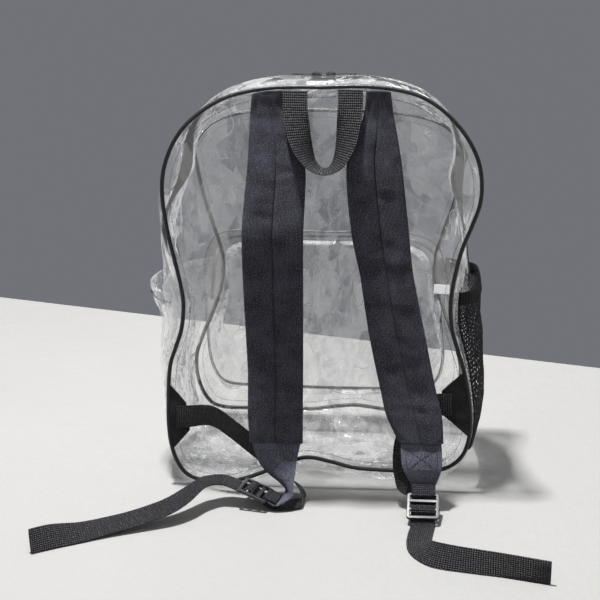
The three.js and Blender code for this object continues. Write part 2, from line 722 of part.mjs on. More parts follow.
function buckleLoop(name, frame) {
  add(name, 'webbing', band([
    nearBuckle(frame, -buckleLoopTail, loopHeight),
    nearBuckle(frame, buckleBar, loopHeight),
    nearBuckle(frame, loopTurn, loopHeight * 0.82),
    nearBuckle(frame, loopTurn, -loopHeight * 0.82),
    nearBuckle(frame, buckleBar, -loopHeight),
    nearBuckle(frame, -buckleLoopTail, -loopHeight),
  ]));
}

// Webbing through the buckle: up through one slot, over the middle bar and down through the next
const overBar = (bucklePlate + webbingThickness) / 2 + 3 * gap;
const clearOfLoop = loopHeight + webbingThickness + 2 * gap;
const barSide = buckleBar / 2 + webbingThickness + 3 * gap;

function lacing(frame) {
  return [
    nearBuckle(frame, -2, -clearOfLoop - 1),
    nearBuckle(frame, loopTurn + 2, -clearOfLoop),
    nearBuckle(frame, middleBar - barSide * 2.1, -overBar),
    nearBuckle(frame, middleBar - barSide * 1.2, -overBar * 0.5),
    nearBuckle(frame, middleBar - barSide, overBar * 0.45),
    nearBuckle(frame, middleBar - barSide * 0.37, overBar + gap),
    nearBuckle(frame, middleBar + barSide * 0.37, overBar + gap),
    nearBuckle(frame, middleBar + barSide, overBar * 0.45),
    nearBuckle(frame, middleBar + barSide * 1.2, -overBar * 0.5),
    nearBuckle(frame, middleBar + barSide * 2.1, -overBar),
    nearBuckle(frame, buckleLength + 4, -overBar),
  ];
}

const leftBuckle = buckleFrame(-0.303, -1.667, 0.025, [-0.91, 0.21, 0.33], [-0.2, -0.95, 0.05]);
const rightBuckle = buckleFrame(0.673, -1.747, 0.0523, [0, -0.889, -0.457], [1, 0, 0]);
ladderLock('buckle_left', leftBuckle);
ladderLock('buckle_right', rightBuckle);
buckleLoop('buckle_loop_left', leftBuckle);
buckleLoop('buckle_loop_right', rightBuckle);

// Strap tabs: stitched cloth from the lower end of each strap to its buckle
const strapEnd = (rows) => rows.at(-1);
const tabHang = 2 * gap;

function tab(name, rows, frame, turns) {
  const { z, left, right, stand } = strapEnd(rows);
  const startY = (strapTopY - stand * strapReach) / halfDepth;
  const startZ = z - tabHang / bagHeight;
  const width = halfWidth * (right - left) * 0.92;
  const start = place((left + right) / 2, startY, startZ, [1, 0, 0], width, tabThickness);
  const meet = nearBuckle(frame, -buckleLoopTail * 1.1, 0, webbingWidth, tabThickness);
  const end = nearBuckle(frame, -2 * gap, 0, webbingWidth, tabThickness);
  add(name, 'cloth', band([...smoothPlaces([start, ...turns, meet], 2), end]));
}

tab('strap_tab_left', leftStrapRows, leftBuckle, [
  place(-0.26, -1.47, 0.1, [1, -0.1, 0], tabWidth * 0.87, tabThickness),
  place(-0.23, -1.55, 0.064, [0.8, -0.6, 0], tabWidth * 0.7, tabThickness),
  place(-0.185, -1.64, 0.036, [0.3, -0.95, 0], webbingWidth, tabThickness),
]);
tab('strap_tab_right', rightStrapRows, rightBuckle, [
  place(0.66, -1.6, 0.11, [1, 0, 0], tabWidth * 0.9, tabThickness),
]);

// Lower webbing: from the anchor behind the strap, slack to the buckle, through it and out as a tail.
// Places are shares of half width, half depth and height.
const anchorHold = -(panelFace + gap + anchorThickness + gap + webbingThickness / 2) / halfDepth;
const tipThickness = webbingThickness * 2;

add('lower_webbing_left', 'webbing', band([
  ...smoothPlaces([
    place(-0.93, anchorHold, 0.18, [0, 0, 1]),
    place(-0.84, anchorHold, 0.184, [0.05, 0, 1]),
    place(-0.68, -1.19, 0.195, [0.15, -0.2, 1]),
    place(-0.56, -1.24, 0.168, [0.25, -0.3, 0.95]),
    place(-0.42, -1.28, 0.127, [0.4, -0.4, 0.85]),
    place(-0.3, -1.3, 0.086, [0.4, -0.6, 0.7]),
    place(-0.21, -1.3, 0.055, [0.2, -0.8, 0.5]),
    place(-0.11, -1.42, 0.027, [0, -0.95, 0.2]),
    place(-0.09, -1.56, 0.011, [-0.1, -0.97, 0]),
    place(-0.18, -1.65, 0.0055, [-0.2, -0.97, 0]),
    place(-0.26, -1.667, 0.005, [-0.2, -0.96, 0.02]),
  ], 1),
  ...lacing(leftBuckle),
  ...smoothPlaces([
    place(-0.62, -1.56, 0.059, [-0.1, -0.97, 0]),
    place(-0.72, -1.72, 0.063, [0.2, -0.95, -0.05]),
    place(-0.81, -2.0, 0.053, [0.4, -0.87, -0.15]),
    place(-0.92, -2.23, 0.039, [0.45, -0.85, -0.22]),
    place(-1.1, -2.44, 0.025, [0.45, -0.85, -0.25]),
    place(-1.26, -2.61, 0.0185, [0.42, -0.86, -0.28]),
    place(-1.43, -2.84, 0.0165, [0.35, -0.8, -0.48]),
    place(-1.59, -3.09, 0.025, [0.25, -0.55, -0.8], webbingWidth, tipThickness),
    place(-1.7, -3.31, 0.0295, [0.1, -0.25, -0.96], webbingWidth, tipThickness),
  ], 2),
]));

add('lower_webbing_right', 'webbing', band([
  ...smoothPlaces([
    place(0.84, anchorHold, 0.232, [0, 0, -1]),
    place(0.74, anchorHold, 0.23, [0.05, 0, -1]),
    place(0.62, -1.19, 0.2, [0.5, 0, -0.85]),
    place(0.56, -1.25, 0.155, [0.85, 0, -0.5]),
    place(0.545, -1.33, 0.11, [1, 0, -0.25]),
    place(0.56, -1.45, 0.07, [1, 0, 0]),
    place(0.59, -1.57, 0.045, [1, 0, 0]),
    place(0.64, -1.64, 0.039, [1, 0, 0]),
  ], 1),
  ...lacing(rightBuckle),
  ...smoothPlaces([
    place(0.66, -2.43, 0.006, [1, -0.05, 0.05]),
    place(0.65, -2.75, 0.0095, [0.95, -0.1, 0.25]),
    place(0.67, -3.03, 0.02, [0.75, 0.1, 0.6]),
    place(0.75, -3.29, 0.0285, [0.3, 0.35, 0.88]),
    place(0.91, -3.42, 0.029, [0.05, 0.3, 0.95]),
    place(1.15, -3.55, 0.0288, [0, 0.15, 0.99]),
    place(1.34, -3.67, 0.0287, [0, 0.05, 1], webbingWidth, tipThickness),
    place(1.436, -3.727, 0.0286, [0, 0, 1], webbingWidth, tipThickness),
  ], 2),
]));

// Small blank tag caught in the right side seam, just inside the hollow of the back panel
const tagPlace = 23.1;
const tagEdge = outlinePoint('back', tagPlace);
const tagReach = 1 - (pipingSeat + gap + tagWidth) / tagEdge.x;
const tag = add('side_tag', 'tag', new THREE.BoxGeometry(tagWidth, tagThickness, tagHeight));
tag.position.set(
  tagEdge.x - pipingSeat - gap - tagWidth / 2,
  backHollow * (1 - tagReach ** 2) + vinyl / 2 + gap + tagThickness / 2 - halfDepth,
  tagEdge.z,
);

export default bag;
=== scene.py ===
import json
import math

import bmesh
import bpy
import numpy as np
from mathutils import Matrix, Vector, noise

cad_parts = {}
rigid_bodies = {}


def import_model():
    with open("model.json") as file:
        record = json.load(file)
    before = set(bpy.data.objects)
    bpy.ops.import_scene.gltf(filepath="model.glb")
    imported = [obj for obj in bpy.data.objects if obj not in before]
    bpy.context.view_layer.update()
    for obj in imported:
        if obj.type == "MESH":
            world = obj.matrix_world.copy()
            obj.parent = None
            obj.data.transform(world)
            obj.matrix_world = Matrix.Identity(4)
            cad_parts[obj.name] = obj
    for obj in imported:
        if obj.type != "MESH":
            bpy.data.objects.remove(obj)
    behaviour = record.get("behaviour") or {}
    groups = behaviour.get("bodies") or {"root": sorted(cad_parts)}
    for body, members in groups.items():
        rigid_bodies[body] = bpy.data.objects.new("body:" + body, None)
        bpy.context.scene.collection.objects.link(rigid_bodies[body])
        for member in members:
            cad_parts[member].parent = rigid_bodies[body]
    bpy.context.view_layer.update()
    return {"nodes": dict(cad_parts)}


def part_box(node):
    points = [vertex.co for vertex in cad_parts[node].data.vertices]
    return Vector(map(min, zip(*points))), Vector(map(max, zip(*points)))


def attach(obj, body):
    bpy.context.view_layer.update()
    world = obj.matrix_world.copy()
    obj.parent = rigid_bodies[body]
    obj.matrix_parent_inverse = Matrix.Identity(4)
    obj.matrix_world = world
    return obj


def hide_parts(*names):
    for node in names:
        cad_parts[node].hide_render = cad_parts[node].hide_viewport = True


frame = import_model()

# The camera looks at the strap side from a little above, through a long lens, so that the bag's
# outline keeps its true proportions. It stands well over the floor.
camera_place = Vector((0.1173, -2.0623, 0.9389))
camera_aim = Vector((-0.0269, 0, 0.1865))
camera = bpy.data.objects.new("camera", bpy.data.cameras.new("camera"))
camera.data.lens = 122.45
camera.data.sensor_width = 36
camera.location = camera_place
camera.rotation_euler = (camera_aim - camera_place).to_track_quat("-Z", "Y").to_euler()
bpy.context.scene.collection.objects.link(camera)
bpy.context.scene.camera = camera

# The bag stands on a plain pale floor of fine plaster, which ends half a metre behind it. Beyond
# the floor there is only plain mid grey.
floor_back_left = Vector((-4.0, 1.397, 0))
floor_back_right = Vector((4.0, -0.648, 0))
floor_front = -6.0


def socket_named(group, name, kind, given=None):
    direction = "OUTPUT" if given is None else "INPUT"
    made = group.interface.new_socket(name=name, in_out=direction, socket_type=kind)
    if given is not None:
        made.default_value = given
    return made


def add_node(tree, kind, **settings):
    made = tree.nodes.new(kind)
    for name, value in settings.items():
        setattr(made, name, value)
    return made


def calculate(tree, operation, *terms):
    made = add_node(tree, "ShaderNodeMath", operation=operation)
    for place, term in enumerate(terms):
        if isinstance(term, (int, float)):
            made.inputs[place].default_value = term
        else:
            tree.links.new(term, made.inputs[place])
    return made.outputs[0]


def speckle(tree, vector, scale, detail=2.0, roughness=0.5):
    made = add_node(tree, "ShaderNodeTexNoise")
    made.inputs["Scale"].default_value = scale
    made.inputs["Detail"].default_value = detail
    made.inputs["Roughness"].default_value = roughness
    tree.links.new(vector, made.inputs["Vector"])
    return made.outputs["Fac"]


def blend_colours(tree, share, low, high):
    ramp = add_node(tree, "ShaderNodeMix", data_type="RGBA")
    tree.links.new(share, ramp.inputs["Factor"])
    ramp.inputs["A"].default_value = (*low, 1)
    ramp.inputs["B"].default_value = (*high, 1)
    return ramp.outputs["Result"]


def raise_normal(tree, height, distance, strength=1.0):
    bump = add_node(tree, "ShaderNodeBump")
    bump.inputs["Distance"].default_value = distance
    bump.inputs["Strength"].default_value = strength
    tree.links.new(height, bump.inputs["Height"])
    return bump.outputs["Normal"]


def new_material(name):
    material = bpy.data.materials.new(name)
    material.use_nodes = True
    tree = material.node_tree
    return material, tree, tree.nodes["Principled BSDF"]


def build_floor():
    corners = [
        (floor_back_left.x, floor_back_left.y, 0), (floor_back_left.x, floor_front, 0),
        (floor_back_right.x, floor_front, 0), (floor_back_right.x, floor_back_right.y, 0),
    ]
    mesh = bpy.data.meshes.new("floor")
    mesh.from_pydata(corners, [], [(0, 1, 2, 3)])
    floor = bpy.data.objects.new("floor", mesh)
    bpy.context.scene.collection.objects.link(floor)
    material, tree, shader = new_material("pale_floor")
    place = add_node(tree, "ShaderNodeTexCoord").outputs["Object"]
    tone = speckle(tree, place, 3.0, 4.0)
    tree.links.new(blend_colours(tree, tone, (0.272, 0.269, 0.261), (0.300, 0.297, 0.291)), shader.inputs["Base Color"])
    tree.links.new(raise_normal(tree, speckle(tree, place, 60.0, 6.0, 0.6), 0.002), shader.inputs["Normal"])
    shader.inputs["Roughness"].default_value = 0.75
    mesh.materials.append(material)


build_floor()


# Soft studio light: a large key lamp from the upper left, a weaker fill from the right, and a strip
# behind and above that draws the edges of the clear sheets.
def lamp(name, place, aim, width, height, power):
    light = bpy.data.lights.new(name, "AREA")
    light.shape = "RECTANGLE"
    light.size = width
    light.size_y = height
    light.energy = power
    made = bpy.data.objects.new(name, light)
    made.location = place
    made.rotation_euler = (Vector(aim) - Vector(place)).to_track_quat("-Z", "Y").to_euler()
    made.visible_camera = False
    bpy.context.scene.collection.objects.link(made)


bag_middle = (0, 0, 0.2)
lamp("key_lamp", (-0.3, -0.04, 2.45), bag_middle, 0.16, 0.16, 130)
lamp("top_lamp", (-0.2, 0.6, 2.4), bag_middle, 2.4, 0.9, 8)
lamp("fill_lamp", (1.9, -1.8, 1.2), bag_middle, 0.8, 1.4, 2)
lamp("edge_lamp", (0.7, 2.0, 1.3), bag_middle, 1.8, 0.4, 5)
lamp("left_glint_lamp", (-0.9, -1.6, 1.6), bag_middle, 0.07, 0.07, 2.5)
lamp("right_glint_lamp", (1.0, -1.1, 1.9), bag_middle, 0.07, 0.07, 2.5)


room_levels = [(0.0, 0.75), (0.455, 0.70), (0.50, 0.14), (0.62, 0.14), (0.80, 1.5), (1.0, 1.5)]


def studio_world():
    """Plain mid grey behind the floor. Reflections see a pale room that is brighter overhead."""
    world = bpy.data.worlds.new("studio")
    world.use_nodes = True
    tree = world.node_tree
    background = tree.nodes["Background"]
    rays = add_node(tree, "ShaderNodeLightPath")
    parts = add_node(tree, "ShaderNodeSeparateXYZ")
    tree.links.new(add_node(tree, "ShaderNodeTexCoord").outputs["Generated"], parts.inputs[0])
    height = calculate(tree, "MULTIPLY_ADD", parts.outputs["Z"], 0.5, 0.5)
    room = add_node(tree, "ShaderNodeValToRGB")
    tree.links.new(height, room.inputs["Fac"])
    stops = room.color_ramp.elements
    while len(stops) < len(room_levels):
        stops.new(0.5)
    for stop, (place, level) in zip(stops, room_levels):
        stop.position = place
        stop.color = (level, level, level * 1.03, 1)
    seen = add_node(tree, "ShaderNodeMix", data_type="RGBA")
    tree.links.new(rays.outputs["Is Camera Ray"], seen.inputs["Factor"])
    tree.links.new(room.outputs["Color"], seen.inputs["A"])
    seen.inputs["B"].default_value = (0.165, 0.170, 0.190, 1)
    tree.links.new(seen.outputs["Result"], background.inputs["Color"])
    diffuse = calculate(tree, "MULTIPLY_ADD", rays.outputs["Is Diffuse Ray"], -0.82, 1.0)
    tree.links.new(diffuse, background.inputs["Strength"])
    bpy.context.scene.world = world


studio_world()
bpy.context.scene.view_settings.view_transform = "Standard"
bpy.context.scene.cycles.transparent_max_bounces = 48

# Back, front and pocket face: sheets of clear flexible vinyl half a millimetre to a millimetre thick,
# cut to the bag's outline and sewn into the piping. They came folded, so they are creased all over.
vinyl_thickness = 0.0009
stations_round = 380
stations_across = 62


def smooth_rows(points, steps, closed=False):
    """Catmull-Rom resampling of an array along its first axis."""
    count = len(points)
    spans = count if closed else count - 1
    place = np.linspace(0, spans, steps, endpoint=not closed)
    start = np.minimum(place.astype(int), spans - 1)
    share = (place - start).reshape(-1, *[1] * (points.ndim - 1))
    if closed:
        a, b, c, d = (points[(start + shift) % count] for shift in (-1, 0, 1, 2))
    else:
        a, b, c, d = (points[np.clip(start + shift, 0, count - 1)] for shift in (-1, 0, 1, 2))
    curve = 2 * a - 5 * b + 4 * c - d + share * (3 * (b - c) + d - a)
    return b + 0.5 * share * (c - a + share * curve)


def node_shape(node):
    shape = bmesh.new()
    shape.from_mesh(frame["nodes"][node].data)
    bmesh.ops.remove_doubles(shape, verts=shape.verts, dist=2e-6)
    return shape


def panel_grid(node):
    """Rows of points from a CAD panel's middle out to its rim, halfway through its thickness."""
    shape = node_shape(node)
    hubs = sorted(shape.verts, key=lambda v: -len(v.link_edges))[:2]
    hub = np.array((hubs[0].co + hubs[1].co) / 2)
    spokes = []
    angle = lambda v: math.atan2(v.co.z - hub[2], v.co.x - hub[0])
    for vertex in sorted((v for v in shape.verts if v not in hubs), key=angle):
        if not spokes or angle(vertex) - spokes[-1][0] > 1e-3:
            spokes.append((angle(vertex), []))
        spokes[-1][1].append(np.array(vertex.co))
    rows = [np.tile(hub, (len(spokes), 1))]
    for ring in range(len(spokes[0][1]) // 2):
        found = []
        for _, points in spokes:
            points.sort(key=lambda p: (p[0] - hub[0]) ** 2 + (p[2] - hub[2]) ** 2)
            found.append((points[2 * ring] + points[2 * ring + 1]) / 2)
        rows.append(np.array(found))
    shape.free()
    rows = np.array(rows)
    share = np.linalg.norm((rows - rows[0])[:, 0, [0, 2]], axis=1)
    share = share / share[-1]
    wanted = np.linspace(0, 1, stations_across)
    grid = np.empty((stations_across, rows.shape[1], 3))
    for spoke in range(rows.shape[1]):
        for axis in range(3):
            grid[:, spoke, axis] = np.interp(wanted, share, rows[:, spoke, axis])
    return smooth_rows(grid.transpose(1, 0, 2), stations_round, closed=True).transpose(1, 0, 2)


def grid_normals(grid, closed=False):
    down = np.gradient(grid, axis=0)
    if closed:
        along = (np.roll(grid, -1, axis=1) - np.roll(grid, 1, axis=1)) / 2
    else:
        along = np.gradient(grid, axis=1)
    normal = np.cross(down, along)
    length = np.linalg.norm(normal, axis=2, keepdims=True)
    normal = normal / np.maximum(length, 1e-12)
    weak = length[..., 0].max(axis=1) < 1e-12
    if weak[0]:
        normal[0] = normal[1].mean(axis=0)
    return normal

# Every run crumples the sheets alike.
noise.seed_set(4)


def crumple(points, size, depth, seed, drawn=(1, 1, 1), folds=1.0):
    """How far a crumpled sheet stands proud at each point: swells, sharp folds and fine crackle."""
    flat = (points * np.array(drawn)).reshape(-1, 3) / size
    heights = np.empty(len(flat))
    shift = Vector((seed * 7.3, seed * 3.1, seed * 5.7))
    for i, point in enumerate(flat):
        place = Vector(point) + shift
        place += noise.noise_vector(place * 0.7) * 0.45
        swell = noise.noise(place)
        fold = max(1 - abs(noise.noise(place * 1.5 + shift)) * 3.2, 0)
        crackle = max(1 - abs(noise.noise(place * 3.9 - shift)) * 3.6, 0)
        heights[i] = swell * 0.8 + folds * (fold * 0.45 + crackle * 0.13)
    return depth * heights.reshape(points.shape[:-1])


def skin(name, outer, inner, closed=False, cut=None):
    """Closed body between two grids of points, with a UV of the flat cut in metres where one is given."""
    rows, columns = outer.shape[:2]
    vertices = np.concatenate([outer.reshape(-1, 3), inner.reshape(-1, 3)])
    index = np.arange(rows * columns).reshape(rows, columns)
    if closed:
        index = np.concatenate([index, index[:, :1]], axis=1)
    low = index + rows * columns
    quads = lambda a, b, c, d: np.stack([a, b, c, d], axis=-1).reshape(-1, 4)
    faces = [
        quads(index[:-1, :-1], index[1:, :-1], index[1:, 1:], index[:-1, 1:]),
        quads(low[:-1, :-1], low[:-1, 1:], low[1:, 1:], low[1:, :-1]),
        quads(index[0, :-1], index[0, 1:], low[0, 1:], low[0, :-1]),
        quads(index[-1, :-1], low[-1, :-1], low[-1, 1:], index[-1, 1:]),
    ]
    if not closed:
        faces.append(quads(index[:-1, 0], low[:-1, 0], low[1:, 0], index[1:, 0]))
        faces.append(quads(index[:-1, -1], index[1:, -1], low[1:, -1], low[:-1, -1]))
    mesh = bpy.data.meshes.new(name)
    mesh.from_pydata(vertices.tolist(), [], np.concatenate(faces).tolist())
    if cut is not None:
        layer = mesh.uv_layers.new(name="cut")
        flat = np.concatenate([cut.reshape(-1, 2)] * 2)
        corner = np.empty(len(mesh.loops), dtype=np.int32)
        mesh.loops.foreach_get("vertex_index", corner)
        layer.data.foreach_set("uv", flat[corner].astype(np.float32).ravel())
    return finish_mesh(name, mesh)


def finish_mesh(name, mesh, sharp=50):
    shape = bmesh.new()
    shape.from_mesh(mesh)
    bmesh.ops.remove_doubles(shape, verts=shape.verts, dist=1e-6)
    bmesh.ops.dissolve_degenerate(shape, edges=shape.edges, dist=1e-7)
    bmesh.ops.recalc_face_normals(shape, faces=shape.faces)
    shape.to_mesh(mesh)
    shape.free()
    mesh.shade_smooth()
    mesh.set_sharp_from_angle(angle=math.radians(sharp))
    piece = bpy.data.objects.new(name, mesh)
    bpy.context.scene.collection.objects.link(piece)
    return piece


def settle(piece, material, slot, *nodes):
    """Gives a piece its material, ties it to the bag and lets it stand for its CAD nodes."""
    piece.data.materials.clear()
    piece.data.materials.append(material)
    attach(piece, "root")
    if nodes:
        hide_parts(*nodes)


def sheet_on(name, middle, thickness, closed=False, cut=None):
    normal = grid_normals(middle, closed)
    return skin(name, middle + normal * thickness / 2, middle - normal * thickness / 2, closed, cut)


def crease_group():
    """Creases of clear vinyl: flat facets tilted against each other, with pale lines where it folds."""
    group = bpy.data.node_groups.new("vinyl_creases", "ShaderNodeTree")
    socket_named(group, "Vector", "NodeSocketVector", (0, 0, 0))
    socket_named(group, "Facets", "NodeSocketFloat", 30.0)
    socket_named(group, "Height", "NodeSocketFloat")
    socket_named(group, "Haze", "NodeSocketFloat")
    socket_named(group, "Folds", "NodeSocketFloat")
    given = add_node(group, "NodeGroupInput")
    result = add_node(group, "NodeGroupOutput")
    bend = add_node(group, "ShaderNodeTexNoise")
    bend.inputs["Scale"].default_value = 9.0
    bend.inputs["Detail"].default_value = 0.0
    group.links.new(given.outputs["Vector"], bend.inputs["Vector"])
    stray = add_node(group, "ShaderNodeVectorMath", operation="SCALE")
    stray.inputs["Scale"].default_value = 0.05
    group.links.new(bend.outputs["Color"], stray.inputs[0])
    warped = add_node(group, "ShaderNodeVectorMath", operation="ADD")
    group.links.new(given.outputs["Vector"], warped.inputs[0])
    group.links.new(stray.outputs[0], warped.inputs[1])
    heights = []
    clouding = None
    for multiple, slope in ((1.0, 0.85), (2.7, 0.3)):
        scale = calculate(group, "MULTIPLY", given.outputs["Facets"], multiple)
        cells = add_node(group, "ShaderNodeTexVoronoi", feature="F1")
        group.links.new(warped.outputs[0], cells.inputs["Vector"])
        group.links.new(scale, cells.inputs["Scale"])
        offset = add_node(group, "ShaderNodeVectorMath", operation="SUBTRACT")
        group.links.new(warped.outputs[0], offset.inputs[0])
        group.links.new(cells.outputs["Position"], offset.inputs[1])
        tilt = add_node(group, "ShaderNodeVectorMath", operation="SUBTRACT")
        group.links.new(cells.outputs["Color"], tilt.inputs[0])
        tilt.inputs[1].default_value = (0.5, 0.5, 0.5)
        lean = add_node(group, "ShaderNodeVectorMath", operation="DOT_PRODUCT")
        group.links.new(offset.outputs[0], lean.inputs[0])
        group.links.new(tilt.outputs[0], lean.inputs[1])
        heights.append(calculate(group, "MULTIPLY", lean.outputs["Value"], slope))
        if clouding is None:
            tint = add_node(group, "ShaderNodeSeparateXYZ")
            group.links.new(cells.outputs["Color"], tint.inputs[0])
            clouding = calculate(group, "POWER", tint.outputs["X"], 2.0)
    lines = []
    for scale, sharp in ((13.0, 120.0), (30.0, 60.0)):
        level = speckle(group, warped.outputs[0], scale, 1.0)
        away = calculate(group, "ABSOLUTE", calculate(group, "SUBTRACT", level, 0.5))
        line = calculate(group, "MAXIMUM", calculate(group, "MULTIPLY_ADD", away, -sharp, 1.0), 0.0)
        lines.append(calculate(group, "POWER", line, 1.6))
    kept = calculate(group, "MULTIPLY_ADD", speckle(group, given.outputs["Vector"], 30.0, 1.0), 9.0, -5.0)
    kept = calculate(group, "MINIMUM", calculate(group, "MAXIMUM", kept, 0.0), 1.0)
    line = calculate(group, "MULTIPLY", calculate(group, "MAXIMUM", *lines), kept)
    ripple = speckle(group, warped.outputs[0], 150.0, 3.0, 0.6)
    height = calculate(group, "ADD", heights[0], heights[1])
    height = calculate(group, "MULTIPLY_ADD", line, 0.0003, height)
    height = calculate(group, "MULTIPLY_ADD", ripple, 0.0002, height)
    group.links.new(height, result.inputs["Height"])
    cloud = calculate(group, "POWER", speckle(group, warped.outputs[0], 9.0, 6.0, 0.7), 2.0)
    cloud = calculate(group, "MULTIPLY_ADD", clouding, 1.0, cloud)
    group.links.new(cloud, result.inputs["Haze"])
    group.links.new(line, result.inputs["Folds"])
    return group


creases = crease_group()


def clear_vinyl(name, facets, lean, haze, stretch=(1, 1, 0.6)):
    """Thin clear sheet: what isn't mirrored off its face passes through, with a little haze."""
    material, tree, shader = new_material(name)
    place = add_node(tree, "ShaderNodeTexCoord").outputs["Object"]
    drawn = add_node(tree, "ShaderNodeMapping")
    drawn.inputs["Scale"].default_value = stretch
    tree.links.new(place, drawn.inputs["Vector"])
    crease = add_node(tree, "ShaderNodeGroup", node_tree=creases)
    crease.inputs["Facets"].default_value = facets
    tree.links.new(drawn.outputs["Vector"], crease.inputs["Vector"])
    normal = raise_normal(tree, crease.outputs["Height"], lean)
    shader.inputs["Base Color"].default_value = (0.85, 0.86, 0.86, 1)
    shader.inputs["Roughness"].default_value = 0.35
    through = add_node(tree, "ShaderNodeBsdfTransparent")
    through.inputs["Color"].default_value = (0.982, 0.984, 0.984, 1)
    mirror = add_node(tree, "ShaderNodeBsdfGlossy")
    mirror.inputs["Color"].default_value = (1, 1, 1, 1)
    mirror.inputs["Roughness"].default_value = 0.025
    tree.links.new(normal, mirror.inputs["Normal"])
    tree.links.new(normal, shader.inputs["Normal"])
    fresnel = add_node(tree, "ShaderNodeFresnel")
    fresnel.inputs["IOR"].default_value = 1.85
    tree.links.new(normal, fresnel.inputs["Normal"])
    hazy = add_node(tree, "ShaderNodeMixShader")
    folds = calculate(tree, "MULTIPLY", crease.outputs["Folds"], 0.5)
    tree.links.new(calculate(tree, "MULTIPLY_ADD", crease.outputs["Haze"], haze, folds), hazy.inputs[0])
    tree.links.new(through.outputs[0], hazy.inputs[1])
    tree.links.new(shader.outputs[0], hazy.inputs[2])
    glossy = add_node(tree, "ShaderNodeMixShader")
    tree.links.new(fresnel.outputs[0], glossy.inputs[0])
    tree.links.new(hazy.outputs[0], glossy.inputs[1])
    tree.links.new(mirror.outputs[0], glossy.inputs[2])
    leaving = add_node(tree, "ShaderNodeMixShader")
    tree.links.new(add_node(tree, "ShaderNodeNewGeometry").outputs["Backfacing"], leaving.inputs[0])
    tree.links.new(glossy.outputs[0], leaving.inputs[1])
    tree.links.new(through.outputs[0], leaving.inputs[2])
    tree.links.new(leaving.outputs[0], tree.nodes["Material Output"].inputs["Surface"])
    return material


panel_vinyl = clear_vinyl("panel_vinyl", 46.0, 1.0, 0.16)
panel_creases = {
    "back_panel": (0.085, 0.0030, 1),
    "front_panel": (0.080, 0.0030, 2),
    "pocket_face": (0.070, 0.0022, 3),
}
for node, (size, depth, seed) in panel_creases.items():
    grid = panel_grid(node)
    share = np.linspace(0, 1, stations_across)[:, None]
    held = np.clip((1 - share) * 7, 0, 1)
    grid[..., 1] += crumple(grid, size, depth, seed) * held
    settle(sheet_on(f"{node}_sheet", grid, vinyl_thickness, closed=True), panel_vinyl, "clear_vinyl", node)


# Gussets: clear vinyl strips sewn between the two pipings. The lower one runs under the bottom and up
# both sides, the two upper ones run over the top on either side of the zipper.
def strip_rings(node, count, first):
    """Rings of a CAD strip's points, from the ring of count points that first ranks lowest."""
    shape = node_shape(node)
    ring = sorted(shape.verts, key=lambda v: first(v.co))[:count]
    rings = []
    seen = set(ring)
    while ring:
        rings.append(np.array([v.co for v in ring]))
        ring = list({edge.other_vert(v) for v in ring for edge in v.link_edges} - seen)
        seen |= set(ring)
    assert all(len(ring) == count for ring in rings), node
    shape.free()
    return rings


def lane_grid(node, lanes, first, hub=0.2):
    """Outer face of a CAD strip that runs round the bag, lane by lane from the back to the front."""
    rows = []
    for ring in strip_rings(node, 2 * lanes, first):
        pairs = ring[np.argsort(ring[:, 1])].reshape(lanes, 2, 3)
        reach = np.hypot(pairs[:, :, 0], pairs[:, :, 2] - hub)
        rows.append(np.array([pair[np.argmax(far)] for pair, far in zip(pairs, reach)]))
    return np.array(rows)


def fine_grid(grid, along, across):
    return smooth_rows(smooth_rows(grid, along).transpose(1, 0, 2), across).transpose(1, 0, 2)


def wall_on(name, outer, thickness, cut=None, hub=0.2):
    """Sheet whose outer face is the given grid."""
    normal = grid_normals(outer)
    away = outer - np.array([0, 0, hub])
    away[..., 1] = 0
    if (normal * away).sum() < 0:
        normal = -normal
    return skin(name, outer, outer - normal * thickness, cut=cut)


gusset_vinyl = clear_vinyl("gusset_vinyl", 60.0, 1.0, 0.16, stretch=(1, 1, 0.3))
upper_start = lambda point: point.z if point.x > 0 else 1
gussets = {
    "lower_gusset": (9, lambda point: -point.z if point.x < 0 else 1, 340, 76, 0.0022, 4),
    "upper_gusset_back": (4, upper_start, 400, 24, 0.0007, 5),
    "upper_gusset_front": (5, upper_start, 400, 36, 0.0018, 6),
}
for node, (lanes, first, along, across, depth, seed) in gussets.items():
    grid = fine_grid(lane_grid(node, lanes, first), along, across)
    across_share = np.linspace(0, 1, across)[None, :]
    held = np.clip(np.minimum(across_share, 1 - across_share) * 9, 0, 1)
    normal = grid_normals(grid)
    grid = grid + normal * (crumple(grid, 0.05, depth, seed) * held)[..., None]
    grid[..., 2] = np.maximum(grid[..., 2], 0.0)
    settle(wall_on(f"{node}_sheet", grid, vinyl_thickness), gusset_vinyl, "clear_vinyl", node)


# Piping: a round cord in a folded strip of black vinyl, sewn in between a panel and its gusset, and a
# thinner one round the pocket's face. The strip is drawn tight, so it puckers a little at each stitch.
def ring_middles(node, sides):
    """Middle of each ring of a CAD tube that closes on itself, in order round the bag."""
    shape = node_shape(node)
    points = np.array([v.co for v in shape.verts])
    shape.free()
    middle = (points.min(axis=0) + points.max(axis=0)) / 2
    turn = np.arctan2(points[:, 2] - middle[2], points[:, 0] - middle[0])
    order = np.argsort(turn)
    widest = np.argmax(np.diff(turn[order], append=turn[order][0] + 2 * math.pi))
    points = np.roll(points[order], -(widest + 1), axis=0)
    return points.reshape(-1, sides, 3).mean(axis=1)


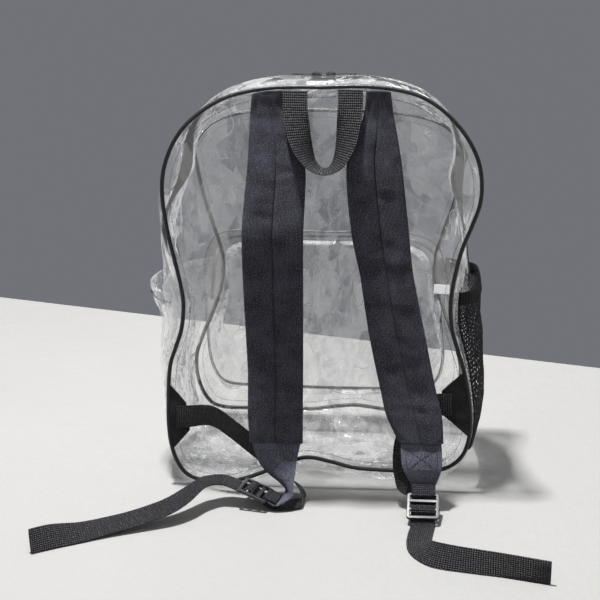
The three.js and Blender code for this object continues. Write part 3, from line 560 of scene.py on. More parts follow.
def tube(name, path, radius, sides, closed=False, up=(0, 1, 0)):
    """Round tube along a path, with a UV of metres along it and metres round it."""
    if closed:
        ahead = np.roll(path, -1, axis=0) - np.roll(path, 1, axis=0)
    else:
        ahead = np.gradient(path, axis=0)
    side = np.cross(ahead, up)
    side /= np.linalg.norm(side, axis=1, keepdims=True)
    lift = np.cross(side, ahead)
    lift /= np.linalg.norm(lift, axis=1, keepdims=True)
    turn = np.linspace(0, 2 * math.pi, sides, endpoint=False)[None, :, None]
    rings = path[:, None] + radius * (np.cos(turn) * side[:, None] + np.sin(turn) * lift[:, None])
    index = np.arange(len(path) * sides).reshape(-1, sides)
    index = np.concatenate([index, index[:, :1]], axis=1)
    if closed:
        index = np.concatenate([index, index[:1]])
    faces = np.stack([index[:-1, :-1], index[:-1, 1:], index[1:, 1:], index[1:, :-1]], axis=-1)
    faces = faces.reshape(-1, 4).tolist()
    if not closed:
        faces += [index[0, :-1][::-1].tolist(), index[-1, :-1].tolist()]
    mesh = bpy.data.meshes.new(name)
    mesh.from_pydata(rings.reshape(-1, 3).tolist(), [], faces)
    return finish_mesh(name, mesh)


def piping_material():
    material, tree, shader = new_material("black_piping")
    place = add_node(tree, "ShaderNodeTexCoord").outputs["Object"]
    puckers = speckle(tree, place, 260.0, 2.0)
    scuffs = speckle(tree, place, 40.0, 5.0, 0.65)
    tree.links.new(blend_colours(tree, scuffs, (0.004, 0.004, 0.005), (0.016, 0.016, 0.018)), shader.inputs["Base Color"])
    tree.links.new(raise_normal(tree, puckers, 0.0007), shader.inputs["Normal"])
    tree.links.new(calculate(tree, "MULTIPLY_ADD", scuffs, 0.35, 0.2), shader.inputs["Roughness"])
    shader.inputs["Specular IOR Level"].default_value = 0.35
    return material


black_piping = piping_material()
pipes = {
    "piping_back": (6, 0.0022, 480),
    "piping_front": (6, 0.0022, 480),
    "pocket_piping": (6, 0.0018, 360),
}
for node, (sides, radius, count) in pipes.items():
    path = smooth_rows(ring_middles(node, sides), count, closed=True)
    settle(tube(f"{node}_cord", path, radius, 14, closed=True), black_piping, "piping", node)


# Seams: the back and front panels are stitched along their piping in black thread, about four millimetres a stitch.
def spindles(centres, along, normal, length, radius, name, lift=0.35, sides=5):
    """One mesh of many small spindles, each along its own direction with its ends bent down."""
    shares = np.array([-0.5, -0.3, 0, 0.3, 0.5])
    thick = np.array([0.4, 0.95, 1, 0.95, 0.4])
    rise = np.array([-0.7, 0.05, lift, 0.05, -0.7])
    along = along / np.linalg.norm(along, axis=1, keepdims=True)
    side = np.cross(along, normal)
    side /= np.linalg.norm(side, axis=1, keepdims=True)
    over = np.cross(side, along)
    turn = np.linspace(0, 2 * math.pi, sides, endpoint=False)
    vertices = centres[:, None, None] + length * shares[None, :, None, None] * along[:, None, None]
    vertices = vertices + radius * thick[None, :, None, None] * np.cos(turn)[:, None] * side[:, None, None]
    height = rise[:, None] + thick[:, None] * np.sin(turn)
    vertices = vertices + radius * height[None, :, :, None] * over[:, None, None]
    rings = len(shares)
    index = np.arange(rings * sides).reshape(rings, sides)
    wrapped = np.concatenate([index, index[:, :1]], axis=1)
    quads = np.stack([wrapped[:-1, :-1], wrapped[:-1, 1:], wrapped[1:, 1:], wrapped[1:, :-1]], axis=-1)
    shift = (np.arange(len(centres)) * rings * sides)[:, None, None]
    faces = (quads.reshape(-1, 4)[None] + shift).reshape(-1, 4).tolist()
    faces += (index[0][::-1][None] + shift[:, 0]).tolist() + (index[-1][None] + shift[:, 0]).tolist()
    mesh = bpy.data.meshes.new(name)
    mesh.from_pydata(vertices.reshape(-1, 3).tolist(), [], faces)
    return finish_mesh(name, mesh)


def along_path(path, pitch):
    """Points at an even pitch along a path, and the path's direction at each."""
    run = np.concatenate([[0], np.linalg.norm(np.diff(path, axis=0), axis=1).cumsum()])
    at = np.arange(pitch / 2, run[-1], pitch)
    points = np.stack([np.interp(at, run, path[:, axis]) for axis in range(3)], axis=1)
    ahead = np.stack([np.interp(at + pitch / 8, run, path[:, axis]) for axis in range(3)], axis=1)
    return points, ahead - points, at / run[-1]


def stitch_rows(name, rows, pitch=0.004, length=0.003, radius=0.0003):
    """Rows of thread stitches. Each row is a path and the normals of the cloth along it."""
    parts = []
    for path, normals in rows:
        points, ahead, share = along_path(np.asarray(path), pitch)
        place = np.linspace(0, 1, len(normals))
        facing = np.stack([np.interp(share, place, normals[:, axis]) for axis in range(3)], axis=1)
        facing /= np.linalg.norm(facing, axis=1, keepdims=True)
        parts.append((points + facing * radius * 0.6, ahead, facing))
    centres, ahead, facing = (np.concatenate(part) for part in zip(*parts))
    return spindles(centres, ahead, facing, length, radius, name)


def thread_material():
    material, tree, shader = new_material("black_thread")
    place = add_node(tree, "ShaderNodeTexCoord").outputs["Object"]
    twist = speckle(tree, place, 900.0, 2.0)
    tree.links.new(blend_colours(tree, twist, (0.012, 0.012, 0.014), (0.05, 0.05, 0.055)), shader.inputs["Base Color"])
    shader.inputs["Roughness"].default_value = 0.55
    return material


black_thread = thread_material()
seam_rows = []
for node, side in (("back_panel", -1), ("front_panel", 1)):
    row = panel_grid(node)[-3]
    row[:, 1] += side * vinyl_thickness / 2
    seam_rows.append((np.concatenate([row, row[:1]]), np.tile([0.0, side, 0.0], (len(row), 1))))
settle(stitch_rows("panel_stitches", seam_rows), black_thread, "piping")


# Zippers: woven black tape with a nylon coil down its middle, the main one over the top between the
# two upper gussets and a smaller one over the pocket. Each tape is sewn down along both edges.
def tape_material():
    material, tree, shader = new_material("zipper_tape")
    place = add_node(tree, "ShaderNodeUVMap", uv_map="cut").outputs["UV"]
    ribs = add_node(tree, "ShaderNodeTexWave", wave_type="BANDS", bands_direction="Y")
    ribs.inputs["Scale"].default_value = 420.0
    ribs.inputs["Distortion"].default_value = 0.6
    tree.links.new(place, ribs.inputs["Vector"])
    tone = speckle(tree, place, 700.0, 3.0)
    tree.links.new(blend_colours(tree, tone, (0.010, 0.010, 0.012), (0.040, 0.041, 0.047)), shader.inputs["Base Color"])
    tree.links.new(raise_normal(tree, ribs.outputs["Fac"], 0.0003), shader.inputs["Normal"])
    shader.inputs["Roughness"].default_value = 0.75
    shader.inputs["Sheen Weight"].default_value = 0.3
    return material


def coil_material():
    material, tree, shader = new_material("zipper_coil")
    place = add_node(tree, "ShaderNodeTexCoord").outputs["Object"]
    tone = speckle(tree, place, 300.0, 2.0)
    tree.links.new(blend_colours(tree, tone, (0.012, 0.012, 0.014), (0.03, 0.03, 0.034)), shader.inputs["Base Color"])
    tree.links.new(calculate(tree, "MULTIPLY_ADD", tone, 0.25, 0.2), shader.inputs["Roughness"])
    return material


def flat_cut(grid):
    """Distances in metres along and across a grid's rows, as a UV of the flat cut."""
    along = np.linalg.norm(np.diff(grid, axis=0), axis=2).mean(axis=1)
    across = np.linalg.norm(np.diff(grid, axis=1), axis=2).mean(axis=0)
    along = np.concatenate([[0], along.cumsum()])
    across = np.concatenate([[0], across.cumsum()])
    return np.stack(np.meshgrid(along, across - across[-1] / 2, indexing="ij"), axis=-1)


tape = tape_material()
coil = coil_material()
chain_height = 0.0014
tooth_pitch = 0.0021
zippers = {
    "main_zipper": (0.2, 420, 4, 5),
    "pocket_zipper": (0.136, 200, 7, 8),
}
for node, (hub, along, seed, wave) in zippers.items():
    lanes = lane_grid(node, 4, upper_start, hub)
    lanes = smooth_rows(lanes, along)
    normal = grid_normals(lanes)
    away = lanes - np.array([0, 0, hub])
    away[..., 1] = 0
    if (normal * away).sum() < 0:
        normal = -normal
    chain_line = lanes[:, 1:3].mean(axis=1)
    chain_out = normal[:, 0] + normal[:, 3]
    chain_out /= np.linalg.norm(chain_out, axis=1, keepdims=True)
    chain_across = lanes[:, 2] - lanes[:, 1]
    chain_across /= np.linalg.norm(chain_across, axis=1, keepdims=True)
    flat = lanes.copy()
    flat[:, 1:3] -= chain_height * chain_out[:, None]
    flat = smooth_rows(flat.transpose(1, 0, 2), 15).transpose(1, 0, 2)
    settle(wall_on(f"{node}_tape", flat, 0.0008, flat_cut(flat)), tape, "zipper_tape", node)
    teeth = []
    for side in (-1, 1):
        points, ahead, share = along_path(chain_line - chain_out * chain_height * 0.62, tooth_pitch)
        points = points + ahead * 4 * (side > 0)
        place = np.linspace(0, 1, len(chain_out))
        across, out = (
            np.stack([np.interp(share, place, line[:, axis]) for axis in range(3)], axis=1)
            for line in (chain_across, chain_out)
        )
        teeth.append((points + across * side * 0.0010, across, out))
    centres, across, out = (np.concatenate(part) for part in zip(*teeth))
    chain = spindles(centres, across, out, 0.0040, 0.00058, f"{node}_coil")
    settle(chain, coil, "zipper_tape")
    edges = [(flat[:, 1], normal[:, 0]), (flat[:, -2], normal[:, 3])]
    settle(stitch_rows(f"{node}_stitches", edges), black_thread, "zipper_tape")


# Sliders and pulls: cast metal painted black. A slider has a bevelled crown with a bridge over it and
# a flange down each side; the pull hangs from the bridge by its eye.
def plate(corners, thickness, bevel, base=0.0, hole=None):
    """Bmesh of a flat plate between base and base + thickness, with rounded edges and maybe a hole."""
    shape = bmesh.new()
    loops = []
    for outline in [corners] + ([hole] if hole else []):
        loops.append([shape.verts.new((x, y, base)) for x, y in outline])
    if hole:
        count = len(corners)
        faces = [
            shape.faces.new((loops[0][i], loops[0][(i + 1) % count], loops[1][(i + 1) % count], loops[1][i]))
            for i in range(count)
        ]
    else:
        faces = [shape.faces.new(loops[0])]
    grown = bmesh.ops.extrude_face_region(shape, geom=faces)
    raised = [item for item in grown["geom"] if isinstance(item, bmesh.types.BMVert)]
    bmesh.ops.translate(shape, verts=raised, vec=(0, 0, thickness))
    bmesh.ops.recalc_face_normals(shape, faces=shape.faces)
    edges = [edge for edge in shape.edges if len(edge.link_faces) == 2 and edge.calc_face_angle() > 0.6]
    bmesh.ops.bevel(shape, geom=edges, offset=bevel, segments=2, profile=0.6, affect="EDGES")
    return shape


def merge_shapes(name, shapes, matrix):
    """One object of several bmesh shapes, placed by a matrix."""
    whole = bmesh.new()
    for shape in shapes:
        part = bpy.data.meshes.new("part")
        shape.to_mesh(part)
        shape.free()
        whole.from_mesh(part)
        bpy.data.meshes.remove(part)
    whole.transform(matrix)
    mesh = bpy.data.meshes.new(name)
    whole.to_mesh(mesh)
    whole.free()
    return finish_mesh(name, mesh, 35)


def solid_frame(node, heading):
    """Matrix of a flat CAD solid: Y near the heading, Z out through its thickness, the origin at its
    foot in the middle of its end."""
    from mathutils import Matrix
    shape = node_shape(node)
    points = np.array([v.co for v in shape.verts])
    ngon = max(
        (face for face in shape.faces), key=lambda f: f.calc_area(),
    )
    out = np.array(ngon.normal)
    shape.free()
    if np.dot(out, points.mean(axis=0) - np.array([0, 0, 0.2])) < 0:
        out = -out
    along = np.array(heading, dtype=float)
    along -= out * np.dot(out, along)
    along /= np.linalg.norm(along)
    across = np.cross(along, out)
    low = (points @ out).min()
    start = (points @ along).min()
    middle = ((points @ across).min() + (points @ across).max()) / 2
    origin = out * low + along * start + across * middle
    return Matrix([
        [across[0], along[0], out[0], origin[0]],
        [across[1], along[1], out[1], origin[1]],
        [across[2], along[2], out[2], origin[2]],
        [0, 0, 0, 1],
    ])


def arch(width, run, height, thick, base):
    """Bridge over a slider: a bar bent into a low arch along Y."""
    rows = []
    for step in range(9):
        turn = math.pi * step / 8
        rows.append((0, run[0] + (run[1] - run[0]) * (1 - math.cos(turn)) / 2, base + height * math.sin(turn) ** 0.6))
    shape = bmesh.new()
    rings = []
    for i, (_, y, z) in enumerate(rows):
        before, after = rows[max(i - 1, 0)], rows[min(i + 1, 8)]
        dy, dz = after[1] - before[1], after[2] - before[2]
        size = math.hypot(dy, dz)
        ny, nz = -dz / size, dy / size
        ring = []
        for k in range(8):
            angle = 2 * math.pi * (k + 0.5) / 8
            x, rise = width / 2 * math.cos(angle), thick / 2 * math.sin(angle)
            ring.append(shape.verts.new((x, y + ny * rise, z + nz * rise)))
        rings.append(ring)
    for low, high in zip(rings, rings[1:]):
        for k in range(8):
            shape.faces.new((low[k], low[(k + 1) % 8], high[(k + 1) % 8], high[k]))
    shape.faces.new(rings[0][::-1])
    shape.faces.new(rings[-1])
    return shape


def metal_material():
    material, tree, shader = new_material("painted_metal")
    place = add_node(tree, "ShaderNodeTexCoord").outputs["Object"]
    wear = speckle(tree, place, 180.0, 5.0, 0.7)
    tree.links.new(blend_colours(tree, wear, (0.010, 0.010, 0.011), (0.06, 0.06, 0.062)), shader.inputs["Base Color"])
    tree.links.new(calculate(tree, "MULTIPLY_ADD", wear, 0.4, 0.15), shader.inputs["Roughness"])
    shader.inputs["Metallic"].default_value = 0.55
    shader.inputs["Coat Weight"].default_value = 0.5
    return material


painted_metal = metal_material()
slider_length = 0.011
sliders = {
    "main_slider_left": (0.006, (-1, 0, 0)),
    "main_slider_right": (0.006, (1, 0, 0)),
    "pocket_slider": (0.005, (-1, 0, 0)),
}
for node, (chain, heading) in sliders.items():
    crown = [
        (-chain * 0.75, 0), (chain * 0.75, 0), (chain, slider_length * 0.6),
        (chain * 0.55, slider_length), (-chain * 0.55, slider_length), (-chain, slider_length * 0.6),
    ]
    shapes = [plate(crown, 0.0014, 0.0004)]
    for side in (-1, 1):
        flange = [
            (side * chain * 0.60, 0.0006), (side * chain * 0.74, 0.0006), (side * chain * 0.97, slider_length * 0.6),
            (side * chain * 0.56, slider_length * 0.97), (side * chain * 0.42, slider_length * 0.94),
            (side * chain * 0.80, slider_length * 0.6),
        ]
        shapes.append(plate(flange, 0.0014, 0.0002, base=-0.0011))
    shapes.append(arch(0.0022, (slider_length * 0.12, slider_length * 0.88), 0.0018, 0.0010, 0.0011))
    slider = merge_shapes(f"{node}_body", shapes, solid_frame(node, heading))
    settle(slider, painted_metal, "zipper_metal", node)

pull_length = 0.020
pull_width = 0.0055
for node, heading in (("main_pull_left", (-1, 0, 0)), ("main_pull_right", (1, 0, 0))):
    rim, eye = [], []
    for step in range(24):
        turn = 2 * math.pi * step / 24
        swell = 0.35 + 0.15 * (0.5 + 0.5 * math.sin(turn))
        rim.append((pull_width * swell * 1.05 * math.cos(turn), pull_length * (0.52 + 0.5 * math.sin(turn))))
        eye.append((pull_width * swell * 0.5 * math.cos(turn), pull_length * (0.66 + 0.24 * math.sin(turn))))
    loop = [(0.0012 * math.cos(2 * math.pi * k / 24), 0.0016 + 0.0016 * math.sin(2 * math.pi * k / 24)) for k in range(24)]
    shapes = [plate(rim, 0.0010, 0.0003, hole=eye)]
    puller = merge_shapes(f"{node}_tab", shapes, solid_frame(node, heading))
    settle(puller, painted_metal, "zipper_metal", node)


# Front pocket walls: a clear gusset round the bottom and sides, and a clear strip over the top between
# the panel and the zipper.
pocket_vinyl = clear_vinyl("pocket_vinyl", 60.0, 1.0, 0.22, stretch=(1, 1, 0.8))
pocket_walls = {
    "pocket_gusset": (3, lambda point: -point.z if point.x < 0 else 1, 300, 24, 9),
    "pocket_strip": (2, upper_start, 200, 8, 10),
}
for node, (lanes, first, along, across, seed) in pocket_walls.items():
    grid = fine_grid(lane_grid(node, lanes, first, 0.136), along, across)
    share = np.linspace(0, 1, across)[None, :]
    held = np.clip(np.minimum(share, 1 - share) * 5, 0, 1)
    grid = grid + grid_normals(grid) * (crumple(grid, 0.03, 0.0009, seed) * held)[..., None]
    settle(wall_on(f"{node}_wall", grid, vinyl_thickness, hub=0.136), pocket_vinyl, "clear_vinyl", node)


# Clear side pocket: a vinyl wall sewn over the lower gusset, badly creased under its hem, which is
# folded over twice and sewn with long black stitches.
rim_start = lambda point: -point.z
side_vinyl = clear_vinyl("side_vinyl", 60.0, 1.2, 0.26, stretch=(1, 1, 0.6))
grid = fine_grid(lane_grid("side_pocket_clear", 7, rim_start), 130, 90)
down = np.linspace(0, 1, 130)[:, None]
share = np.linspace(0, 1, 90)[None, :]
held = np.clip(np.minimum(share, 1 - share) * 7, 0, 1) * np.clip((1 - down) * 6, 0, 1)
grid = grid + grid_normals(grid) * (crumple(grid, 0.034, 0.0024, 11) * held)[..., None]
settle(wall_on("side_pocket_clear_wall", grid, vinyl_thickness), side_vinyl, "clear_vinyl", "side_pocket_clear")

hem = fine_grid(lane_grid("side_pocket_clear_hem", 7, rim_start), 12, 110)
hem = hem + grid_normals(hem) * (crumple(hem, 0.03, 0.0005, 11))[..., None]
settle(wall_on("side_pocket_clear_fold", hem, 0.0012), side_vinyl, "clear_vinyl", "side_pocket_clear_hem")
hem_out = grid_normals(hem)
hem_out *= np.sign(hem_out[..., :1] * hem[..., :1])
hem_lines = [(hem[row] + hem_out[row] * 0.0002, hem_out[row]) for row in (8,)]
hem_stitches = stitch_rows("side_pocket_clear_stitches", hem_lines, 0.0046, 0.0033, 0.0006)
settle(hem_stitches, black_thread, "clear_vinyl")


# Net side pocket: knitted black mesh with round holes, bound along its seams, with an elastic hem.
def on_grid(grid, along, across):
    """Points of a grid at shares along its rows and across them."""
    row = np.clip(along, 0, 1) * (grid.shape[0] - 1)
    column = np.clip(across, 0, 1) * (grid.shape[1] - 1)
    i = np.minimum(row.astype(int), grid.shape[0] - 2)
    j = np.minimum(column.astype(int), grid.shape[1] - 2)
    a, b = (row - i)[:, None], (column - j)[:, None]
    low = grid[i, j] * (1 - b) + grid[i, j + 1] * b
    high = grid[i + 1, j] * (1 - b) + grid[i + 1, j + 1] * b
    return low * (1 - a) + high * a


def cloth_material(name, dark, light, painted_glint, weave, depth, shine=0.2, roughness=0.8):
    """Woven black cloth: lumps where the yarns cross, paler in patches at random, with painted shade in the hollows
    between the lumps and painted glints on some lumps.
    """
    material, tree, shader = new_material(name)
    place = add_node(tree, "ShaderNodeUVMap", uv_map="cut").outputs["UV"]
    parts = add_node(tree, "ShaderNodeSeparateXYZ")
    tree.links.new(place, parts.inputs[0])
    waves = [
        calculate(tree, "SINE", calculate(tree, "MULTIPLY", parts.outputs[axis], 2 * math.pi / pitch))
        for axis, pitch in zip("XY", weave)
    ]
    lumps = calculate(tree, "MULTIPLY", *waves)
    raised = calculate(tree, "ABSOLUTE", lumps)
    mottle = calculate(tree, "MULTIPLY_ADD", speckle(tree, place, 42.0, 6.0, 0.65), 2.4, -0.7)
    mottle = calculate(tree, "MINIMUM", calculate(tree, "MAXIMUM", mottle, 0.0), 1.0)
    grain = speckle(tree, place, 2.0 / weave[0], 2.0, 0.8)
    # Painted shade: the colour darkens in the hollows between the lumps and lightens on their crowns.
    tone = calculate(tree, "MULTIPLY", mottle, calculate(tree, "MULTIPLY_ADD", raised, 0.8, 0.3))
    base = blend_colours(tree, tone, dark, light)
    # Painted glints: bright specks put into the colour on the crowns of some lumps, standing in for glints of light on
    # the yarn.
    glint_share = calculate(tree, "MAXIMUM", calculate(tree, "MULTIPLY_ADD", grain, 5.0, -2.3), 0.0)
    glint_share = calculate(tree, "MULTIPLY", glint_share, calculate(tree, "POWER", raised, 3.0))
    glinted = add_node(tree, "ShaderNodeMix", data_type="RGBA")
    tree.links.new(glint_share, glinted.inputs["Factor"])
    tree.links.new(base, glinted.inputs["A"])
    glinted.inputs["B"].default_value = (*painted_glint, 1)
    tree.links.new(glinted.outputs["Result"], shader.inputs["Base Color"])
    height = calculate(tree, "MULTIPLY_ADD", grain, 0.5, raised)
    tree.links.new(raise_normal(tree, height, depth), shader.inputs["Normal"])
    shader.inputs["Roughness"].default_value = roughness
    shader.inputs["Specular IOR Level"].default_value = shine
    return material


net_yarn = cloth_material(
    "net_yarn", (0.002, 0.002, 0.003), (0.008, 0.008, 0.010), (0.04, 0.04, 0.045), (0.0014, 0.0014), 0.0002,
)
net_pitch = 0.0046
hole_radius = 0.00145
rim_rise = 0.008
net_grid = fine_grid(lane_grid("side_pocket_net", 7, rim_start), 160, 120)
down = np.linspace(0, 1, 160)[:, None]
share = np.linspace(0, 1, 120)[None, :]
held = np.clip(np.minimum(share, 1 - share) * 8, 0, 1) * np.clip((1 - down) * 5, 0, 1) * np.clip(down * 8, 0, 1)
net_out = grid_normals(net_grid)
net_out *= np.sign(net_out[..., :1])
net_grid = net_grid + net_out * (crumple(net_grid, 0.045, 0.0022, 12) * held - 0.0005)[..., None]
net_grid[..., 2] += rim_rise * np.exp(-((share - 0.6) / 0.22) ** 2) * (1 - down) ** 3
net_length = np.linalg.norm(np.diff(net_grid[:, 60], axis=0), axis=1).sum()
net_width = np.linalg.norm(np.diff(net_grid[60], axis=0), axis=1).sum()
points, faces, seen = [], [], {}


def net_point(x, y):
    key = (round(x * 1e6 / 5), round(y * 1e6 / 5))
    if key not in seen:
        seen[key] = len(points)
        points.append((x, y))
    return seen[key]


net_rows = int(net_length / (net_pitch * math.sqrt(3) / 2))
net_columns = int(net_width / net_pitch)
for j in range(net_rows + 1):
    for i in range(net_columns + 1):
        x = net_pitch * (i + 0.5 * (j % 2))
        y = net_pitch * math.sqrt(3) / 2 * j
        if x > net_width or y > net_length:
            continue
        turns = [math.pi / 3 * k + math.pi / 6 for k in range(6)]
        outer = [net_point(x + net_pitch / math.sqrt(3) * math.cos(a), y + net_pitch / math.sqrt(3) * math.sin(a)) for a in turns]
        inner = [net_point(x + hole_radius * math.cos(a), y + hole_radius * math.sin(a)) for a in turns]
        faces += [(outer[k], outer[(k + 1) % 6], inner[(k + 1) % 6], inner[k]) for k in range(6)]
flat = np.array(points)
placed = on_grid(net_grid, flat[:, 1] / net_length, flat[:, 0] / net_width)
net_mesh = bpy.data.meshes.new("side_pocket_net_mesh")
net_mesh.from_pydata(placed.tolist(), [], faces)
net_uv = net_mesh.uv_layers.new(name="cut")
corner = np.empty(len(net_mesh.loops), dtype=np.int32)
net_mesh.loops.foreach_get("vertex_index", corner)
net_uv.data.foreach_set("uv", flat[corner].astype(np.float32).ravel())
net = bpy.data.objects.new("side_pocket_net_mesh", net_mesh)
bpy.context.scene.collection.objects.link(net)
thicken = net.modifiers.new("thicken", "SOLIDIFY")
thicken.thickness = 0.0003
thicken.offset = 0
solid = bpy.data.meshes.new_from_object(net.evaluated_get(bpy.context.evaluated_depsgraph_get()))
net.modifiers.clear()
net.data = solid
settle(net, net_yarn, "net", "side_pocket_net")

binding_parts = []
edge_share = 0.005 / net_width
for low, high in ((0, edge_share), (1 - edge_share, 1)):
    along = np.repeat(np.linspace(0, 1, 120), 4)
    across = np.tile(np.linspace(low, high, 4), 120)
    strip = on_grid(net_grid, along, across).reshape(120, 4, 3)
    binding_parts.append(strip)
for place, strip in zip(("back", "front"), binding_parts):
    strip = strip + np.array([0.0006, 0, 0])
    settle(wall_on(f"side_pocket_net_binding_{place}", strip, 0.0014, flat_cut(strip)), net_yarn, "net")

elastic_weave = cloth_material(
    "elastic_weave", (0.002, 0.002, 0.003), (0.008, 0.008, 0.010), (0.05, 0.05, 0.055), (0.0016, 0.005), 0.0006,
)
band = fine_grid(lane_grid("side_pocket_net_hem", 7, rim_start), 16, 160)
band_out = grid_normals(band)
band_out *= np.sign(band_out[..., :1])
gather = 0.0005 * np.sin(np.linspace(0, 46 * math.pi, 160))[None, :] * np.linspace(0.3, 1, 16)[:, None]
band = band + band_out * gather[..., None]
band[..., 2] += rim_rise * np.exp(-((np.linspace(0, 1, 160) - 0.6) / 0.22) ** 2)
settle(wall_on("side_pocket_net_elastic", band, 0.0013, flat_cut(band)), elastic_weave, "elastic", "side_pocket_net_hem")


# Shoulder straps: black woven cloth over a foam core, turned in along both edges, with a seam sewn
# down the middle that pulls the foam in. Each is sewn in flat under the back piping at its top.
def strap_faces(node):
    """Front and back faces of a CAD strap, five points a row, from the top down."""
    rows = []
    for ring in strip_rings(node, 10, lambda point: -point.z):
        rows.append(ring[np.lexsort((ring[:, 1], ring[:, 0].round(5)))].reshape(5, 2, 3))
    rows = np.array(rows)
    return rows[:, :, 0], rows[:, :, 1]


strap_weave = cloth_material(
    "strap_weave", (0.004, 0.004, 0.005), (0.068, 0.067, 0.098), (0.32, 0.32, 0.38), (0.0022, 0.0022), 0.0004,
)
strap_shares = np.array([-0.5, -0.4, 0, 0.4, 0.5])
strap_columns = 45
strap_rows = 220
strap_creases = {
    "shoulder_strap_left": [
        (0.189, -1, 1), (0.185, 1, -1), (0.127, -1, 1), (0.130, 1, -1), (0.090, 1, 1), (0.31, -1, -1), (0.355, 1, 1),
    ],
    "shoulder_strap_right": [
        (0.330, 1, 1), (0.262, -1, 1), (0.258, 1, -1), (0.215, 1, -1), (0.150, -1, 1), (0.155, 1, 1), (0.105, 1, -1),
    ],
}
swell_cap = 0.0015
swell_rows = np.arange(0, strap_rows, 3)
swell_columns = np.linspace(0, strap_columns - 1, 13).round().astype(int)


def swell(name, outer, inner):
    """Blows the pad up as cloth, held at its ends and its middle seam. Gives how far both faces moved."""
    rows, columns = len(swell_rows), len(swell_columns)
    picked = np.ix_(swell_rows, swell_columns)
    start = np.concatenate([face[picked].reshape(-1, 3) for face in (outer, inner)])
    pad = skin(f"{name}_swell", outer[picked], inner[picked])
    assert len(pad.data.vertices) == len(start)
    order = np.tile(np.arange(rows * columns).reshape(rows, columns), (2, 1, 1))
    order[1] += rows * columns
    held = pad.vertex_groups.new(name="held")
    held.add(order[:, :, columns // 2].ravel().tolist(), 1.0, "REPLACE")
    held.add(order[:, :, [0, -1]].ravel().tolist(), 1.0, "REPLACE")
    held.add(order[:, [0, 1, -2, -1]].ravel().tolist(), 1.0, "REPLACE")
    cloth = pad.modifiers.new("swell", "CLOTH")
    cloth.settings.quality = 6
    cloth.settings.shrink_min = -0.008
    cloth.settings.bending_stiffness = 0.1
    cloth.settings.use_pressure = True
    cloth.settings.uniform_pressure_force = 3.0
    cloth.settings.vertex_group_mass = "held"
    cloth.settings.effector_weights.gravity = 0
    cloth.collision_settings.use_collision = False
    for frame_number in range(1, 21):
        bpy.context.scene.frame_set(frame_number)
    blown = pad.evaluated_get(bpy.context.evaluated_depsgraph_get()).data
    end = np.empty(len(start) * 3)
    blown.vertices.foreach_get("co", end)
    moved = end.reshape(-1, 3) - start
    far = np.linalg.norm(moved, axis=1, keepdims=True)
    moved *= np.minimum(1, swell_cap / np.maximum(far, 1e-9))
    bpy.data.objects.remove(pad)
    bpy.context.scene.frame_set(1)
    result = []
    for face in moved.reshape(2, rows, columns, 3):
        for _ in range(3):
            face[1:-1] = (face[:-2] + 2 * face[1:-1] + face[2:]) / 4
        tall = smooth_rows(face, strap_rows)
        wide = smooth_rows(tall.transpose(1, 0, 2), strap_columns)
        result.append(wide.transpose(1, 0, 2))
    return result


for node, crease_list in strap_creases.items():
    front, behind = (smooth_rows(face, strap_rows) for face in strap_faces(node))
    middle = (front + behind) / 2
    thick = np.abs(front - behind)[:, 1, 1]
    shares = np.linspace(-0.5, 0.5, strap_columns)
    grid = np.empty((strap_rows, strap_columns, 3))
    for row in range(strap_rows):
        for axis in range(3):
            grid[row, :, axis] = np.interp(shares, strap_shares, middle[row, :, axis])
    width = np.linalg.norm(grid[:, -1] - grid[:, 0], axis=1)[:, None]
    from_middle = shares[None, :] * width
    full = (1 - np.abs(2 * shares) ** 3.2)[None, :] ** 0.5
    puff = 0.5 * thick[:, None] * full + 0.0004
    seam = np.exp(-(from_middle / 0.0011) ** 2) + 0.35 * np.exp(-(from_middle / 0.007) ** 2)
    bow = np.interp(grid[:, 0, 2], [0.15, 0.290, 0.300, 0.41], [0, 0.97, 0.97, 0])
    grid[..., 1] -= ((0.013 if "left" in node else 0.001) * bow)[:, None]
    normal = grid_normals(grid)
    normal *= -np.sign(normal[..., 1:2])
    dent = 0.16 * thick[:, None] * seam
    height = grid[..., 2]
    for level, half, slant in crease_list:
        arc = slant * (0.008 * shares[None, :] + 0.03 * (np.abs(shares[None, :]) - 0.25) ** 2)
        line = height - level - arc
        side = np.exp(-((shares[None, :] - half * 0.2) / 0.16) ** 2)
        dent = dent + side * (0.0006 * np.exp(-(line / 0.004) ** 2) - 0.0005 * np.exp(-((line - 0.008) / 0.006) ** 2))
    loose = np.clip(thick / 0.009, 0, 1)[:, None] * full
    ripple = crumple(grid, 0.034, 0.0005, 21 if "left" in node else 22, (0.6, 0.6, 1.3)) * loose
    outer = grid + normal * (puff - dent + ripple)[..., None]
    inner = grid - normal * (puff - ripple * 0.4)[..., None]
    pushed_out, pushed_in = swell(node, grid + normal * puff[..., None], grid - normal * puff[..., None])
    outer = outer + pushed_out
    inner = inner + pushed_in
    strap = skin(f"{node}_pad", outer, inner, cut=flat_cut(grid))
    settle(strap, strap_weave, "strap_cloth", node)


# Bands: grab handle, lower webbing and buckle loops are 25 mm black webbing with a coarse weave. The
# handle and the webbing are sewn in at their ends; the webbing's free ends are folded over and sewn.
def band_edges(node, first):
    """Both edges of a CAD band, and its thickness, ring by ring."""
    edges, thick = [], []
    for ring in strip_rings(node, 4, first):
        mate = 1 + int(np.argmin(np.linalg.norm(ring[1:] - ring[0], axis=1)))
        rest = [k for k in range(1, 4) if k != mate]
        pair = np.array([(ring[0] + ring[mate]) / 2, (ring[rest[0]] + ring[rest[1]]) / 2])
        if edges:
            straight = np.linalg.norm(pair - edges[-1], axis=1).sum()
            crossed = np.linalg.norm(pair[::-1] - edges[-1], axis=1).sum()
            if crossed < straight:
                pair = pair[::-1]
        edges.append(pair)
        thick.append(np.linalg.norm(ring[0] - ring[mate]))
    return np.array(edges), np.array(thick)


